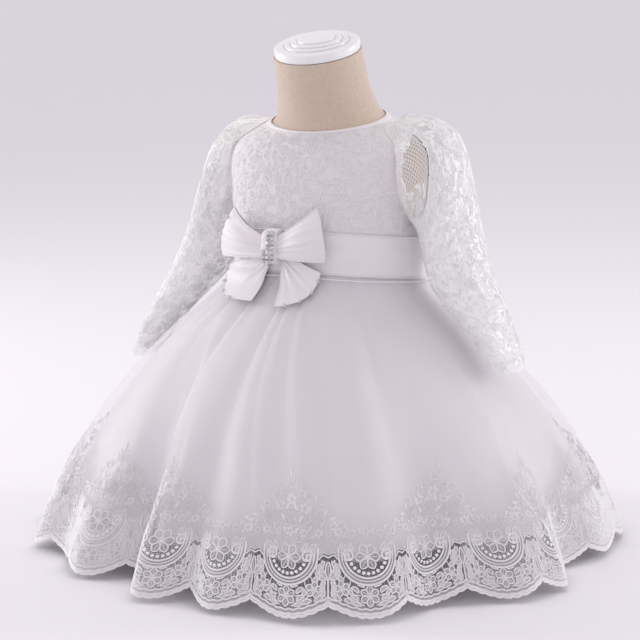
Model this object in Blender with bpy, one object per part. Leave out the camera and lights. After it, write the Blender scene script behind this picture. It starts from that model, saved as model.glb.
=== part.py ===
"""A christening gown on a limbless baby dress form: metres, +Z up, the floor at z = 0.

The wearer faces -Y and the wearer's left is +X. Angles round the body are in degrees from the
front, positive towards the wearer's left. Every piece of cloth is a closed wall: a surface worked
out from the gown's sizes, with its inside and outside points moved along the surface's normal.
"""

import math
from collections import namedtuple

import bmesh
import bpy
from mathutils import Matrix, Vector

MM = 0.001

# Dress form: horizontal sections from the bottom of the torso to the top of the neck.
FormRow = namedtuple("FormRow", "height half_width half_depth centre_y tilt squareness")
FORM_ROWS = (
    FormRow(0.1500, 0.0640, 0.0520, 0.0000, 0, 2.2),
    FormRow(0.1570, 0.0800, 0.0650, 0.0000, 0, 2.2),
    FormRow(0.1720, 0.0890, 0.0730, 0.0000, 0, 2.2),
    FormRow(0.2660, 0.0935, 0.0760, 0.0000, 0, 2.2),
    FormRow(0.3100, 0.0935, 0.0750, 0.0000, 0, 2.3),
    FormRow(0.3450, 0.0955, 0.0725, 0.0000, 0, 2.4),
    FormRow(0.3700, 0.0970, 0.0690, 0.0000, 0, 2.5),
    FormRow(0.3850, 0.0965, 0.0640, 0.0000, 0, 2.5),
    FormRow(0.3940, 0.0930, 0.0590, 0.0000, 1, 2.4),
    FormRow(0.4010, 0.0860, 0.0555, -0.0005, 3, 2.3),
    FormRow(0.4075, 0.0755, 0.0535, -0.0010, 6, 2.2),
    FormRow(0.4140, 0.0640, 0.0520, -0.0020, 9, 2.1),
    FormRow(0.4205, 0.0540, 0.0510, -0.0030, 11, 2.0),
    FormRow(0.4300, 0.0490, 0.0480, -0.0060, 13, 2.0),
    FormRow(0.4480, 0.0450, 0.0448, -0.0130, 15, 2.0),
    FormRow(0.4660, 0.0436, 0.0436, -0.0192, 15.5, 2.0),
    FormRow(0.4840, 0.0430, 0.0430, -0.0250, 15.5, 2.0),
)
FORM_COLUMNS = 40

# Neck cap: a turned disc with three steps, on the neck's tilted top.
CapRow = namedtuple("CapRow", "radius rise")
CAP_ROWS = (
    CapRow(0.0405, 0.0000),
    CapRow(0.0420, 0.0012),
    CapRow(0.0420, 0.0072),
    CapRow(0.0406, 0.0088),
    CapRow(0.0308, 0.0090),
    CapRow(0.0302, 0.0108),
    CapRow(0.0186, 0.0110),
    CapRow(0.0180, 0.0126),
)
CAP_COLUMNS = 24

# Stand under the torso.
POLE_RADIUS = 0.0125
BASE_RADIUS = 0.090
BASE_THICKNESS = 0.006
STAND_SIDES = 32
POLE_SIDES = 16

# Spaces between pieces and thicknesses of cloth, measured outwards from the dress form.
SEAM = 0.3 * MM
BODICE_INSIDE = 0.5 * MM
BODICE_OUTSIDE = 1.7 * MM
BAND_INSIDE = 2.0 * MM
BAND_OUTSIDE = 3.2 * MM
SATIN_INSIDE = 0.5 * MM
SATIN_OUTSIDE = 1.5 * MM
TULLE_INSIDE = 1.9 * MM
TULLE_OUTSIDE = 2.9 * MM
BORDER_INSIDE = 3.7 * MM
BORDER_OUTSIDE = 4.7 * MM
SLEEVE_WALL = 1.0 * MM

# Half steps along a surface, between the points that its normal is measured from.
FORM_STEPS = (2.0, 1.0 * MM)
OVERSKIRT_STEPS = (0.5, -0.004)
UNDERSKIRT_STEPS = (1.0, -0.004)
LOOP_STEPS = (0.01, 0.02)
TAIL_STEPS = (0.02, 0.02)

# Edges that bend by more than this many degrees are shaded sharp.
SHARP_ANGLE = 50

# Waist seam, which is higher in front than behind, and the waistband above it.
WAIST_HEIGHT = 0.2665
WAIST_SLOPE = 0.12
WAIST_HALF_WIDTH = 0.096
WAIST_HALF_DEPTH = 0.078
BAND_HEIGHT = 0.040

# Bodice, from the waist seam to the neckline, and the armholes cut into its sides.
NECKLINE_HEIGHT = 0.4180
BODICE_HEIGHTS = (0.310, 0.345, 0.370, 0.385, 0.394, 0.401, 0.4075, 0.4140)
ARMHOLE_HEIGHT = 0.3695
ARMHOLE_HALF_HEIGHT = 0.0435
ARMHOLE_HALF_DEPTH = 0.034
ARMHOLE_SIDES = 28
ARMHOLE_BAR_LENGTH = 0.090
ARMHOLE_BAR_MIDDLE = 0.105

# Sleeve: a row for each cross-section, from the armhole to the cuff. The outer point is the upper
# or outer side of the arm, the inner point its underside, and half_depth its half width along Y.
SleeveRow = namedtuple("SleeveRow", "outer_x outer_z inner_x inner_z half_depth centre_y")
SLEEVE_ROWS = {
    "sleeve_left": (
        SleeveRow(0.0850, 0.4240, 0.1010, 0.3170, 0.0400, 0.000),
        SleeveRow(0.1010, 0.4240, 0.1035, 0.3130, 0.0440, 0.001),
        SleeveRow(0.1170, 0.4200, 0.1055, 0.3080, 0.0460, 0.002),
        SleeveRow(0.1310, 0.4080, 0.1075, 0.3020, 0.0470, 0.003),
        SleeveRow(0.1410, 0.3840, 0.1090, 0.2930, 0.0460, 0.003),
        SleeveRow(0.1490, 0.3480, 0.1110, 0.2820, 0.0450, 0.001),
        SleeveRow(0.1600, 0.3120, 0.1170, 0.2680, 0.0430, -0.003),
        SleeveRow(0.1750, 0.2740, 0.1320, 0.2480, 0.0400, -0.006),
        SleeveRow(0.1920, 0.2380, 0.1560, 0.2250, 0.0350, -0.010),
        SleeveRow(0.2060, 0.2070, 0.1800, 0.2000, 0.0290, -0.013),
        SleeveRow(0.2130, 0.1880, 0.1930, 0.1840, 0.0250, -0.014),
    ),
    "sleeve_right": (
        SleeveRow(0.0850, 0.4165, 0.1020, 0.3170, 0.0410, 0.000),
        SleeveRow(0.0975, 0.4150, 0.1045, 0.3120, 0.0430, 0.000),
        SleeveRow(0.1085, 0.4090, 0.1050, 0.3060, 0.0430, -0.001),
        SleeveRow(0.1200, 0.3960, 0.1070, 0.3000, 0.0435, -0.002),
        SleeveRow(0.1280, 0.3730, 0.1085, 0.2910, 0.0430, -0.003),
        SleeveRow(0.1380, 0.3390, 0.1110, 0.2790, 0.0430, -0.004),
        SleeveRow(0.1520, 0.3010, 0.1180, 0.2640, 0.0420, -0.006),
        SleeveRow(0.1710, 0.2600, 0.1360, 0.2430, 0.0380, -0.007),
        SleeveRow(0.1920, 0.2240, 0.1630, 0.2170, 0.0330, -0.008),
        SleeveRow(0.2090, 0.1920, 0.1890, 0.1870, 0.0280, -0.009),
        SleeveRow(0.2190, 0.1740, 0.2010, 0.1700, 0.0250, -0.010),
    ),
}
SLEEVE_COLUMNS = 24
SLEEVE_SEAT = 3.0 * MM
SLEEVE_STAND_OFF = 1.1 * MM
SLEEVE_GATHERS = 12
SLEEVE_GATHER_ROWS = 3
REACH_PASSES = 30
SLEEVE_GATHER_DEPTH = 1.6 * MM

# Skirt profile from the waist seam (height_share 1) to the hem (height_share 0).
ProfileRow = namedtuple("ProfileRow", "height_share radius")
SKIRT_PROFILE = (
    ProfileRow(0.000, 0.2900),
    ProfileRow(0.070, 0.2845),
    ProfileRow(0.210, 0.2680),
    ProfileRow(0.340, 0.2490),
    ProfileRow(0.510, 0.2190),
    ProfileRow(0.660, 0.1840),
    ProfileRow(0.790, 0.1490),
    ProfileRow(0.880, 0.1195),
    ProfileRow(0.945, 0.1000),
    ProfileRow(0.980, 0.0943),
    ProfileRow(1.000, 0.0935),
)
HEM_HEIGHT = 0.004
WAIST_SHAPE_ENDS_AT = 0.55

# Folds of the skirt: each row is the line of a ridge or a valley, with where it lies at the waist
# and at the hem, and how far it stands out of the profile at the hem. The back repeats the side's
# rhythm.
FoldRow = namedtuple("FoldRow", "waist_deg hem_deg out_mm")
SKIRT_FOLDS = (
    FoldRow(-168, -167, -24),
    FoldRow(-151, -150, 4),
    FoldRow(-135, -133, -22),
    FoldRow(-118, -115, 5),
    FoldRow(-98, -93, -26),
    FoldRow(-82, -74, 6),
    FoldRow(-68, -62, -15),
    FoldRow(-60, -52, 2),
    FoldRow(-51, -42, -20),
    FoldRow(-42, -27, 0),
    FoldRow(-26, -16, -47),
    FoldRow(-13, -7, 14),
    FoldRow(-4, 1, -3),
    FoldRow(3, 9, 23),
    FoldRow(7, 14, 21),
    FoldRow(16, 25, 41),
    FoldRow(32, 36, 38),
    FoldRow(47, 48, -2),
    FoldRow(58, 56, 5),
    FoldRow(68, 64, 21),
    FoldRow(80, 72, 10),
    FoldRow(92, 86, -33),
    FoldRow(106, 100, -12),
    FoldRow(122, 121, 1),
    FoldRow(138, 138, -24),
    FoldRow(155, 155, 5),
    FoldRow(173, 174, -20),
    FoldRow(184, 184, 4),
)
FOLDS_OPEN_AT = 0.10
FOLDS_SETTLE_AT = 0.714
FOLD_GROWTH = 1.25
GATHERS = 52
GATHER_DEPTH = 1.5 * MM
GATHERS_START_BY = 0.03
GATHERS_END_AT = 0.42

# Overskirt rows, as shares of the drop from the waist seam to the hem.
SKIRT_ROWS = (0.0, 0.03, 0.09, 0.20, 0.36, 0.54, 0.72, 0.86)
SCALLOPS = 26
COLUMNS_PER_SCALLOP = 4
SCALLOP_DEPTH = 0.045
FIRST_SCALLOP_DEG = 21.2

# Lace border: its top edge stands highest over every second scallop.
BORDER_TOP_LOW = 0.775
BORDER_TOP_HIGH = 0.585
BORDER_ROWS = (0.86, 0.72)
SCALLOPS_PER_PEAK = 2
BORDER_PEAK_POWER = 0.8
BORDER_ROW_SPACE = 0.01

# Satin underskirt: it ends above the lace, and lies further inside towards its hem.
UNDERSKIRT_ROWS = (0.0, 0.03, 0.09, 0.20, 0.36, 0.58, 0.82)
UNDERSKIRT_COLUMNS = 64
UNDERSKIRT_INSET = 0.012
UNDERSKIRT_INSET_AT = 0.667
UNDERSKIRT_FOLD_SHARE = 0.82

# Short chords that the folded hem's length is measured with.
HEM_MEASURES = 720

# Bow, laid out on the waistband: u round the body from the knot, v up, n away from the cloth.
BOW_DEG = -12.2
BOW_HEIGHT = 0.3000
BOW_RADIUS = 0.090
BOW_STAND_OFF = 0.7 * MM
KNOT_HALF_WIDTH = 8.5 * MM
KNOT_HALF_HEIGHT = 17.5 * MM
KNOT_DEPTH = 13.0 * MM
KNOT_ROUNDING = 2.5 * MM
BOW_WALL = 1.2 * MM
PLEAT_DEPTH = 1.5 * MM
LoopRow = namedtuple("LoopRow", "side length rise end_half_height puff skew lift")
BOW_LOOPS = {
    "bow_loop_left": LoopRow(1, 0.0525, 0.0135, 0.0255, 0.0130, 0.15, 0.0),
    "bow_loop_right": LoopRow(-1, 0.0620, 0.0110, 0.0250, 0.0130, 0.44, 0.0040),
}
LOOP_STATIONS = 14
LOOP_STRIPS = 6
LOOP_START_HALF_HEIGHT = 0.0095
LOOP_PLEATS = 3
LOOP_MIDDLE = 0.0090
LOOP_CLEAR = -0.15 * MM
LOOP_START = 0.035
LOOP_SPREAD = 0.85
LOOP_EDGE_PUFF = 3.2 * MM
LOOP_BELLY = 0.5
TailRow = namedtuple("TailRow", "side top_u top_v tip_u tip_v bulge")
BOW_TAILS = {
    "bow_tail_left": TailRow(1, 0.0540, -0.0225, 0.0190, -0.0530, 0.0090),
    "bow_tail_right": TailRow(-1, 0.0660, -0.0240, 0.0040, -0.0500, 0.0110),
}
TAIL_STATIONS = 6
TAIL_STRIPS = 8
TAIL_START_TOP = -0.0040
TAIL_START_BOTTOM = -0.0172
TAIL_PLEATS = 2
TAIL_START_OUT = 0.0010
TAIL_CLEAR = 0.8 * MM
TAIL_FLARE = 0.0045
TAIL_BEND = 0.7
TAIL_PLEAT_LOSS = 0.6

# Colours, roughness and metallic value of each material.
Finish = namedtuple("Finish", "colour roughness metallic")
FINISHES = {
    "linen": Finish((0.52, 0.44, 0.37), 0.85, 0.0),
    "cap_enamel": Finish((0.80, 0.82, 0.82), 0.25, 0.0),
    "steel": Finish((0.55, 0.55, 0.56), 0.35, 1.0),
    "bodice_lace": Finish((0.78, 0.77, 0.79), 0.75, 0.0),
    "sleeve_lace": Finish((0.82, 0.82, 0.84), 0.80, 0.0),
    "satin": Finish((0.74, 0.72, 0.75), 0.38, 0.0),
    "tulle": Finish((0.80, 0.80, 0.83), 0.80, 0.0),
    "border_lace": Finish((0.86, 0.86, 0.88), 0.75, 0.0),
    "stones": Finish((0.70, 0.71, 0.74), 0.12, 0.0),
}


def clear_scene():
    """Empties the scene of objects."""
    for old in list(bpy.data.objects):
        bpy.data.objects.remove(old, do_unlink=True)


def finish(name):
    """The material of that name, made on first use."""
    material = bpy.data.materials.get(name)
    if material is None:
        material = bpy.data.materials.new(name)
        material.use_nodes = True
        shader = material.node_tree.nodes["Principled BSDF"]
        shader.inputs["Base Color"].default_value = (*FINISHES[name].colour, 1.0)
        shader.inputs["Roughness"].default_value = FINISHES[name].roughness
        shader.inputs["Metallic"].default_value = FINISHES[name].metallic
    return material


def add_object(name, bm, material):
    """Turns a bmesh into a named, smooth-shaded object."""
    bmesh.ops.recalc_face_normals(bm, faces=bm.faces)
    mesh = bpy.data.meshes.new(name)
    bm.to_mesh(mesh)
    bm.free()
    mesh.shade_smooth()
    mesh.set_sharp_from_angle(angle=math.radians(SHARP_ANGLE))
    mesh.materials.append(finish(material))
    piece = bpy.data.objects.new(name, mesh)
    bpy.context.collection.objects.link(piece)
    return piece


def mix(a, b, share):
    """The value that lies this share of the way from a to b."""
    return a + (b - a) * share


def ease(share):
    """0 to 1 with a level start and end."""
    share = min(max(share, 0.0), 1.0)
    return share * share * (3.0 - 2.0 * share)


def through(places, values, place):
    """A smooth curve through values at rising places, held level past the ends."""
    if place <= places[0]:
        return values[0]
    if place >= places[-1]:
        return values[-1]
    i = max(k for k in range(len(places) - 1) if places[k] <= place)
    slopes = []
    for k in (i, i + 1):
        low = max(k - 1, 0)
        high = min(k + 1, len(places) - 1)
        slopes.append((values[high] - values[low]) / (places[high] - places[low]))
    span = places[i + 1] - places[i]
    t = (place - places[i]) / span
    return (
        (2 * t**3 - 3 * t**2 + 1) * values[i]
        + (t**3 - 2 * t**2 + t) * span * slopes[0]
        + (3 * t**2 - 2 * t**3) * values[i + 1]
        + (t**3 - t**2) * span * slopes[1]
    )


def column(rows, name):
    """One column of a table, as a list."""
    return [getattr(row, name) for row in rows]


def oval_radius(half_width, half_depth, degrees, squareness=2.0):
    """Distance from an oval's centre to its edge; a squareness over 2 fills its corners."""
    angle = math.radians(degrees)
    across = abs(math.sin(angle)) / half_width
    along = abs(math.cos(angle)) / half_depth
    return (across**squareness + along**squareness) ** (-1.0 / squareness)


def form_point(degrees, height):
    """A point on the dress form's skin, on the section at this height."""
    heights = column(FORM_ROWS, "height")
    half_width, half_depth, centre_y, tilt, squareness = (
        through(heights, column(FORM_ROWS, name), height)
        for name in ("half_width", "half_depth", "centre_y", "tilt", "squareness")
    )
    radius = oval_radius(half_width, half_depth, degrees, squareness)
    angle = math.radians(degrees)
    forward = -radius * math.cos(angle)
    lean = math.radians(tilt)
    return Vector(
        (
            radius * math.sin(angle),
            centre_y + forward * math.cos(lean),
            height + forward * math.sin(lean),
        )
    )


def waist_height(degrees):
    """Height of the waist seam at this angle."""
    forward = oval_radius(WAIST_HALF_WIDTH, WAIST_HALF_DEPTH, degrees) * math.cos(math.radians(degrees))
    return WAIST_HEIGHT + WAIST_SLOPE * forward


def normal(surface, s, t, s_step, t_step):
    """The surface's normal at s, t, from points on each side; a negative step turns it round."""
    across = surface(s + s_step, t) - surface(s - s_step, t)
    along = surface(s, t + t_step) - surface(s, t - t_step)
    return across.cross(along).normalized()


def grid_wall(bm, inner, outer, closed):
    """Joins two like grids of points, column by column, into one closed wall."""
    count = len(outer)
    last = len(outer[0]) - 1
    layers = []
    for grid in (outer, inner):
        layers.append([[bm.verts.new(point) for point in line] for line in grid])
    out, ins = layers
    spans = range(count if closed else count - 1)
    for i in spans:
        k = (i + 1) % count
        for j in range(last):
            bm.faces.new((out[i][j], out[k][j], out[k][j + 1]))
            bm.faces.new((out[i][j], out[k][j + 1], out[i][j + 1]))
            bm.faces.new((ins[i][j], ins[k][j + 1], ins[k][j]))
            bm.faces.new((ins[i][j], ins[i][j + 1], ins[k][j + 1]))
        for j in (0, last):
            bm.faces.new((out[i][j], out[k][j], ins[k][j], ins[i][j]))
    if not closed:
        for i in (0, count - 1):
            for j in range(last):
                bm.faces.new((out[i][j], out[i][j + 1], ins[i][j + 1], ins[i][j]))


def pull_in(line, neighbour, distance):
    """Moves a border line of points towards the next line, to leave half a seam's space."""
    return [
        point + (other - point).normalized() * distance
        for point, other in zip(line, neighbour)
    ]


def cloth(name, surface, columns, rows_at, inside, outside, material, steps, closed=False):
    """A wall of cloth between two distances from a surface, with seam space at its sides."""
    grids = []
    for offset in (inside, outside):
        grid = []
        for s in columns:
            grid.append(
                [surface(s, t) + normal(surface, s, t, *steps) * offset for t in rows_at(s)]
            )
        if not closed:
            first = pull_in(grid[0], grid[1], SEAM / 2)
            end = pull_in(grid[-1], grid[-2], SEAM / 2)
            grid[0] = first
            grid[-1] = end
        grids.append(grid)
    bm = bmesh.new()
    grid_wall(bm, grids[0], grids[1], closed)
    return add_object(name, bm, material)


def stack_of_rings(name, rings, material):
    """A closed solid through rings of points, with both ends capped."""
    bm = bmesh.new()
    loops = [[bm.verts.new(point) for point in ring] for ring in rings]
    for low, high in zip(loops, loops[1:]):
        for i in range(len(low)):
            k = (i + 1) % len(low)
            bm.faces.new((low[i], low[k], high[k]))
            bm.faces.new((low[i], high[k], high[i]))
    bm.faces.new(loops[0][::-1])
    bm.faces.new(loops[-1])
    return add_object(name, bm, material)


def even_steps(start, end, count):
    """count + 1 values from start to end."""
    return [mix(start, end, i / count) for i in range(count + 1)]


# Dress form


def make_form():
    """Torso with neck, cap, pole and base plate."""
    angles = even_steps(0, 360, FORM_COLUMNS)[:-1]
    rings = [[form_point(a, row.height) for a in angles] for row in FORM_ROWS]
    stack_of_rings("form_torso", rings, "linen")

    top = FORM_ROWS[-1]
    lean = Matrix.Rotation(math.radians(top.tilt), 4, "X")
    seat = Vector((0, top.centre_y, top.height)) + lean @ Vector((0, 0, SEAM))
    turns = even_steps(0, 2 * math.pi, CAP_COLUMNS)[:-1]
    rings = []
    for row in CAP_ROWS:
        flat = [Vector((row.radius * math.sin(a), -row.radius * math.cos(a), row.rise)) for a in turns]
        rings.append([seat + lean @ point for point in flat])
    stack_of_rings("form_neck_cap", rings, "cap_enamel")

    pole_bottom = BASE_THICKNESS + SEAM
    pole_top = FORM_ROWS[0].height - SEAM
    make_disc("form_pole", POLE_RADIUS, pole_bottom, pole_top, POLE_SIDES)
    make_disc("form_base", BASE_RADIUS, 0.0, BASE_THICKNESS, STAND_SIDES)


def make_disc(name, radius, bottom, top, sides):
    """An upright steel cylinder about the form's axis."""
    bm = bmesh.new()
    bmesh.ops.create_cone(
        bm, cap_ends=True, segments=sides, radius1=radius, radius2=radius, depth=top - bottom
    )
    bmesh.ops.translate(bm, verts=bm.verts, vec=(0, 0, (bottom + top) / 2))
    return add_object(name, bm, "steel")


# Bodice and waistband


def bodice_rows(degrees):
    """Heights of the bodice's rows at this angle, from the waist seam to the neckline."""
    low = waist_height(degrees) + SEAM
    return [low, *BODICE_HEIGHTS, NECKLINE_HEIGHT]


def make_bodice():
    """Front and two backs over the form, with the armholes cut through their sides."""
    cutters = [make_armhole_cutter(side) for side in (-1, 1)]
    step = 360 / FORM_COLUMNS
    panels = {"bodice_front": (-90, 90), "bodice_back_left": (90, 180), "bodice_back_right": (-180, -90)}
    for name, (start, end) in panels.items():
        angles = even_steps(start, end, round((end - start) / step))
        panel = cloth(
            name,
            form_point,
            angles,
            bodice_rows,
            BODICE_INSIDE,
            BODICE_OUTSIDE,
            "bodice_lace",
            FORM_STEPS,
        )
        for cutter in cutters:
            cut = panel.modifiers.new("armhole", "BOOLEAN")
            cut.operation = "DIFFERENCE"
            cut.object = cutter


def make_armhole_cutter(side):
    """An oval bar through one side of the bodice."""
    bm = bmesh.new()
    bmesh.ops.create_cone(
        bm, cap_ends=True, segments=ARMHOLE_SIDES, radius1=1.0, radius2=1.0, depth=ARMHOLE_BAR_LENGTH
    )
    turn = Matrix.Rotation(math.radians(90), 4, "Y")
    size = Matrix.Diagonal((1.0, ARMHOLE_HALF_DEPTH, ARMHOLE_HALF_HEIGHT, 1.0))
    place = Matrix.Translation((side * ARMHOLE_BAR_MIDDLE, 0, ARMHOLE_HEIGHT))
    bmesh.ops.transform(bm, matrix=place @ size @ turn, verts=bm.verts)
    cutter = add_object("armhole_cutter_" + ("left" if side > 0 else "right"), bm, "bodice_lace")
    cutter.hide_render = True
    cutter.display_type = "WIRE"
    return cutter


def make_waistband():
    """Satin band, front and back, standing on the waist seam."""

    def band_rows(degrees):
        low = waist_height(degrees) + SEAM
        return [mix(low, low + BAND_HEIGHT, share) for share in (0.0, 0.5, 1.0)]

    for name, start, end in (("waistband_front", -90, 90), ("waistband_back", 90, 270)):
        cloth(
            name,
            form_point,
            even_steps(start, end, FORM_COLUMNS // 2),
            band_rows,
            BAND_INSIDE,
            BAND_OUTSIDE,
            "satin",
            FORM_STEPS,
        )


# Sleeves


def sleeve_ring(row, side, offset, gather):
    """One cross-section of a sleeve: points round the arm, moved out from its middle line."""
    centre = Vector(((row.outer_x + row.inner_x) / 2, row.centre_y, (row.outer_z + row.inner_z) / 2))
    upwards = Vector(((row.outer_x - row.inner_x) / 2, 0, (row.outer_z - row.inner_z) / 2))
    points = []
    for i in range(SLEEVE_COLUMNS):
        angle = 2 * math.pi * i / SLEEVE_COLUMNS
        fold = gather * SLEEVE_GATHER_DEPTH * math.cos(SLEEVE_GATHERS * angle)
        high = upwards * (1 + (offset + fold) / upwards.length) * math.cos(angle)
        wide = Vector((0, (row.half_depth + offset + fold) * math.sin(angle), 0))
        point = centre + high + wide
        points.append(Vector((side * point.x, point.y, point.z)))
    return points


def armhole_ring(side, offset):
    """The sleeve's open end, which stands on the bodice round the armhole."""
    points = []
    for i in range(SLEEVE_COLUMNS):
        angle = 2 * math.pi * i / SLEEVE_COLUMNS
        y = (ARMHOLE_HALF_DEPTH + SLEEVE_SEAT + offset) * math.sin(angle)
        z = ARMHOLE_HEIGHT + (ARMHOLE_HALF_HEIGHT + SLEEVE_SEAT + offset) * math.cos(angle)
        points.append(Vector((side * bodice_reach(y, z), y, z)))
    return points


def bodice_reach(y, z):
    """How far out the bodice's outside lies at this place, with the space of the armhole seam."""
    out = BODICE_OUTSIDE + SLEEVE_STAND_OFF
    degrees = 90.0
    height = z
    for _ in range(REACH_PASSES):
        point = form_point(degrees, height) + normal(form_point, degrees, height, *FORM_STEPS) * out
        degrees += math.degrees((y - point.y) / point.x)
        height += z - point.z
    return point.x


def make_sleeves():
    """Two open tubes from the armhole to the cuff, gathered at the armhole."""
    for name, side in (("sleeve_left", 1), ("sleeve_right", -1)):
        layers = []
        for offset in (0.0, SLEEVE_WALL):
            rings = [armhole_ring(side, offset)]
            for k, row in enumerate(SLEEVE_ROWS[name]):
                gather = ease(1 - k / SLEEVE_GATHER_ROWS)
                rings.append(sleeve_ring(row, side, offset, gather))
            layers.append([list(line) for line in zip(*rings)])
        bm = bmesh.new()
        grid_wall(bm, layers[0], layers[1], closed=True)
        add_object(name, bm, "sleeve_lace")


# Skirts


def fold_angle(hem_degrees, drop):
    """Where the fold line that reaches the hem at this angle lies, this far down the skirt."""
    turns, within = divmod(hem_degrees - SKIRT_FOLDS[0].hem_deg, 360)
    within += SKIRT_FOLDS[0].hem_deg
    rows = SKIRT_FOLDS + (
        FoldRow(SKIRT_FOLDS[0].waist_deg + 360, SKIRT_FOLDS[0].hem_deg + 360, SKIRT_FOLDS[0].out_mm),
    )
    for low, high in zip(rows, rows[1:]):
        if low.hem_deg <= within <= high.hem_deg:
            share = (within - low.hem_deg) / (high.hem_deg - low.hem_deg)
            at_waist = mix(low.waist_deg, high.waist_deg, share)
            return 360 * turns + mix(at_waist, within, ease(drop / FOLDS_SETTLE_AT))
    return hem_degrees


def fold_out(hem_degrees):
    """How far this fold line stands out of the profile at the hem, in metres."""
    within = (hem_degrees - SKIRT_FOLDS[0].hem_deg) % 360 + SKIRT_FOLDS[0].hem_deg
    rows = SKIRT_FOLDS + (
        FoldRow(SKIRT_FOLDS[0].waist_deg + 360, SKIRT_FOLDS[0].hem_deg + 360, SKIRT_FOLDS[0].out_mm),
    )
    for low, high in zip(rows, rows[1:]):
        if low.hem_deg <= within <= high.hem_deg:
            share = (within - low.hem_deg) / (high.hem_deg - low.hem_deg)
            return mix(low.out_mm, high.out_mm, ease(share)) * MM
    return 0.0


def skirt_point(hem_degrees, drop, inset=0.0, fold_share=1.0):
    """A point of the skirt on one fold line, this share of the drop below the waist seam."""
    degrees = fold_angle(hem_degrees, drop)
    height_share = 1 - drop
    places = column(SKIRT_PROFILE, "height_share")
    radius = through(places, column(SKIRT_PROFILE, "radius"), height_share)
    at_waist = form_point(degrees, waist_height(degrees))
    oval = math.hypot(at_waist.x, at_waist.y) - SKIRT_PROFILE[-1].radius
    radius += oval * (1 - ease(drop / WAIST_SHAPE_ENDS_AT))
    opening = max(drop - FOLDS_OPEN_AT, 0.0) / (1 - FOLDS_OPEN_AT)
    radius += fold_out(hem_degrees) * fold_share * opening**FOLD_GROWTH
    radius -= inset * ease(drop / UNDERSKIRT_INSET_AT)
    angle = math.radians(degrees)
    top = waist_height(degrees) - SEAM
    return Vector(
        (
            radius * math.sin(angle),
            -radius * math.cos(angle),
            mix(top, HEM_HEIGHT, drop),
        )
    )


def hem_columns(count, first):
    """Hem angles of columns that are evenly spaced along the folded hem, from the first angle."""
    angles = even_steps(first, first + 360, HEM_MEASURES)
    lengths = [0.0]
    for a, b in zip(angles, angles[1:]):
        lengths.append(lengths[-1] + (skirt_point(b, 1.0) - skirt_point(a, 1.0)).length)
    columns = []
    k = 0
    for i in range(count):
        wanted = lengths[-1] * i / count
        while lengths[k + 1] < wanted:
            k += 1
        share = (wanted - lengths[k]) / (lengths[k + 1] - lengths[k])
        columns.append(mix(angles[k], angles[k + 1], share))
    return columns


def panel_columns(columns, seams):
    """Cuts a closed round of columns at the ones nearest to each seam, given as hem angles."""
    count = len(columns)
    marks = []
    for seam in seams:
        gaps = [abs((c - seam + 180) % 360 - 180) for c in columns]
        marks.append(gaps.index(min(gaps)))
    panels = []
    for start, end in zip(marks, marks[1:] + marks[:1]):
        length = (end - start) % count
        panels.append([(start + i) % count for i in range(length + 1)])
    return panels


def make_overskirt():
    """Tulle skirt in three panels with a scalloped hem, and the lace border laid on each."""
    count = SCALLOPS * COLUMNS_PER_SCALLOP
    columns = hem_columns(count, FIRST_SCALLOP_DEG)
    gather_turn = 2 * math.pi * GATHERS / count

    def surface(index, drop):
        whole = math.floor(index)
        share = index - whole
        low = columns[whole % count] + 360 * (whole // count)
        high = columns[(whole + 1) % count] + 360 * ((whole + 1) // count)
        point = skirt_point(mix(low, high, share), drop)
        swell = ease(drop / GATHERS_START_BY) * (1 - ease(drop / GATHERS_END_AT))
        outwards = Vector((point.x, point.y, 0)).normalized()
        return point + outwards * GATHER_DEPTH * swell * (1 + math.cos(gather_turn * index))

    def bottom(index):
        place = (index / COLUMNS_PER_SCALLOP) % 1.0
        return 1.0 - SCALLOP_DEPTH * (1 - abs(math.cos(math.pi * place)))

    def skirt_rows(index):
        return list(SKIRT_ROWS) + [bottom(index)]

    def border_rows(index):
        repeat = COLUMNS_PER_SCALLOP * SCALLOPS_PER_PEAK
        place = abs((index / repeat + 0.5) % 1.0 - 0.5) * 2
        top = mix(BORDER_TOP_HIGH, BORDER_TOP_LOW, ease(place) ** BORDER_PEAK_POWER)
        low, high = BORDER_ROWS
        middle = high if top < high - BORDER_ROW_SPACE else (low + top) / 2
        return [top, middle, low, bottom(index)]

    seams = (-90, 90, 180)
    names = ("front", "back_left", "back_right")
    for name, indices in zip(names, panel_columns(columns, seams)):
        run = [indices[0] + i for i in range(len(indices))]
        cloth(
            "overskirt_" + name, surface, run, skirt_rows,
            TULLE_INSIDE, TULLE_OUTSIDE, "tulle", OVERSKIRT_STEPS,
        )
        cloth(
            "lace_border_" + name, surface, run, border_rows,
            BORDER_INSIDE, BORDER_OUTSIDE, "border_lace", OVERSKIRT_STEPS,
        )


def make_underskirt():
    """Satin skirt, front and back, inside the tulle."""

    def surface(hem_degrees, drop):
        return skirt_point(hem_degrees, drop, UNDERSKIRT_INSET, UNDERSKIRT_FOLD_SHARE)

    columns = hem_columns(UNDERSKIRT_COLUMNS, -90)
    front_end = min(range(len(columns)), key=lambda i: abs(columns[i] - 90))
    panels = {
        "underskirt_front": columns[: front_end + 1],
        "underskirt_back": columns[front_end:] + [columns[0] + 360],
    }
    for name, run in panels.items():
        cloth(
            name, surface, run, lambda s: UNDERSKIRT_ROWS,
            SATIN_INSIDE, SATIN_OUTSIDE, "satin", UNDERSKIRT_STEPS,
        )


# Bow


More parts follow.
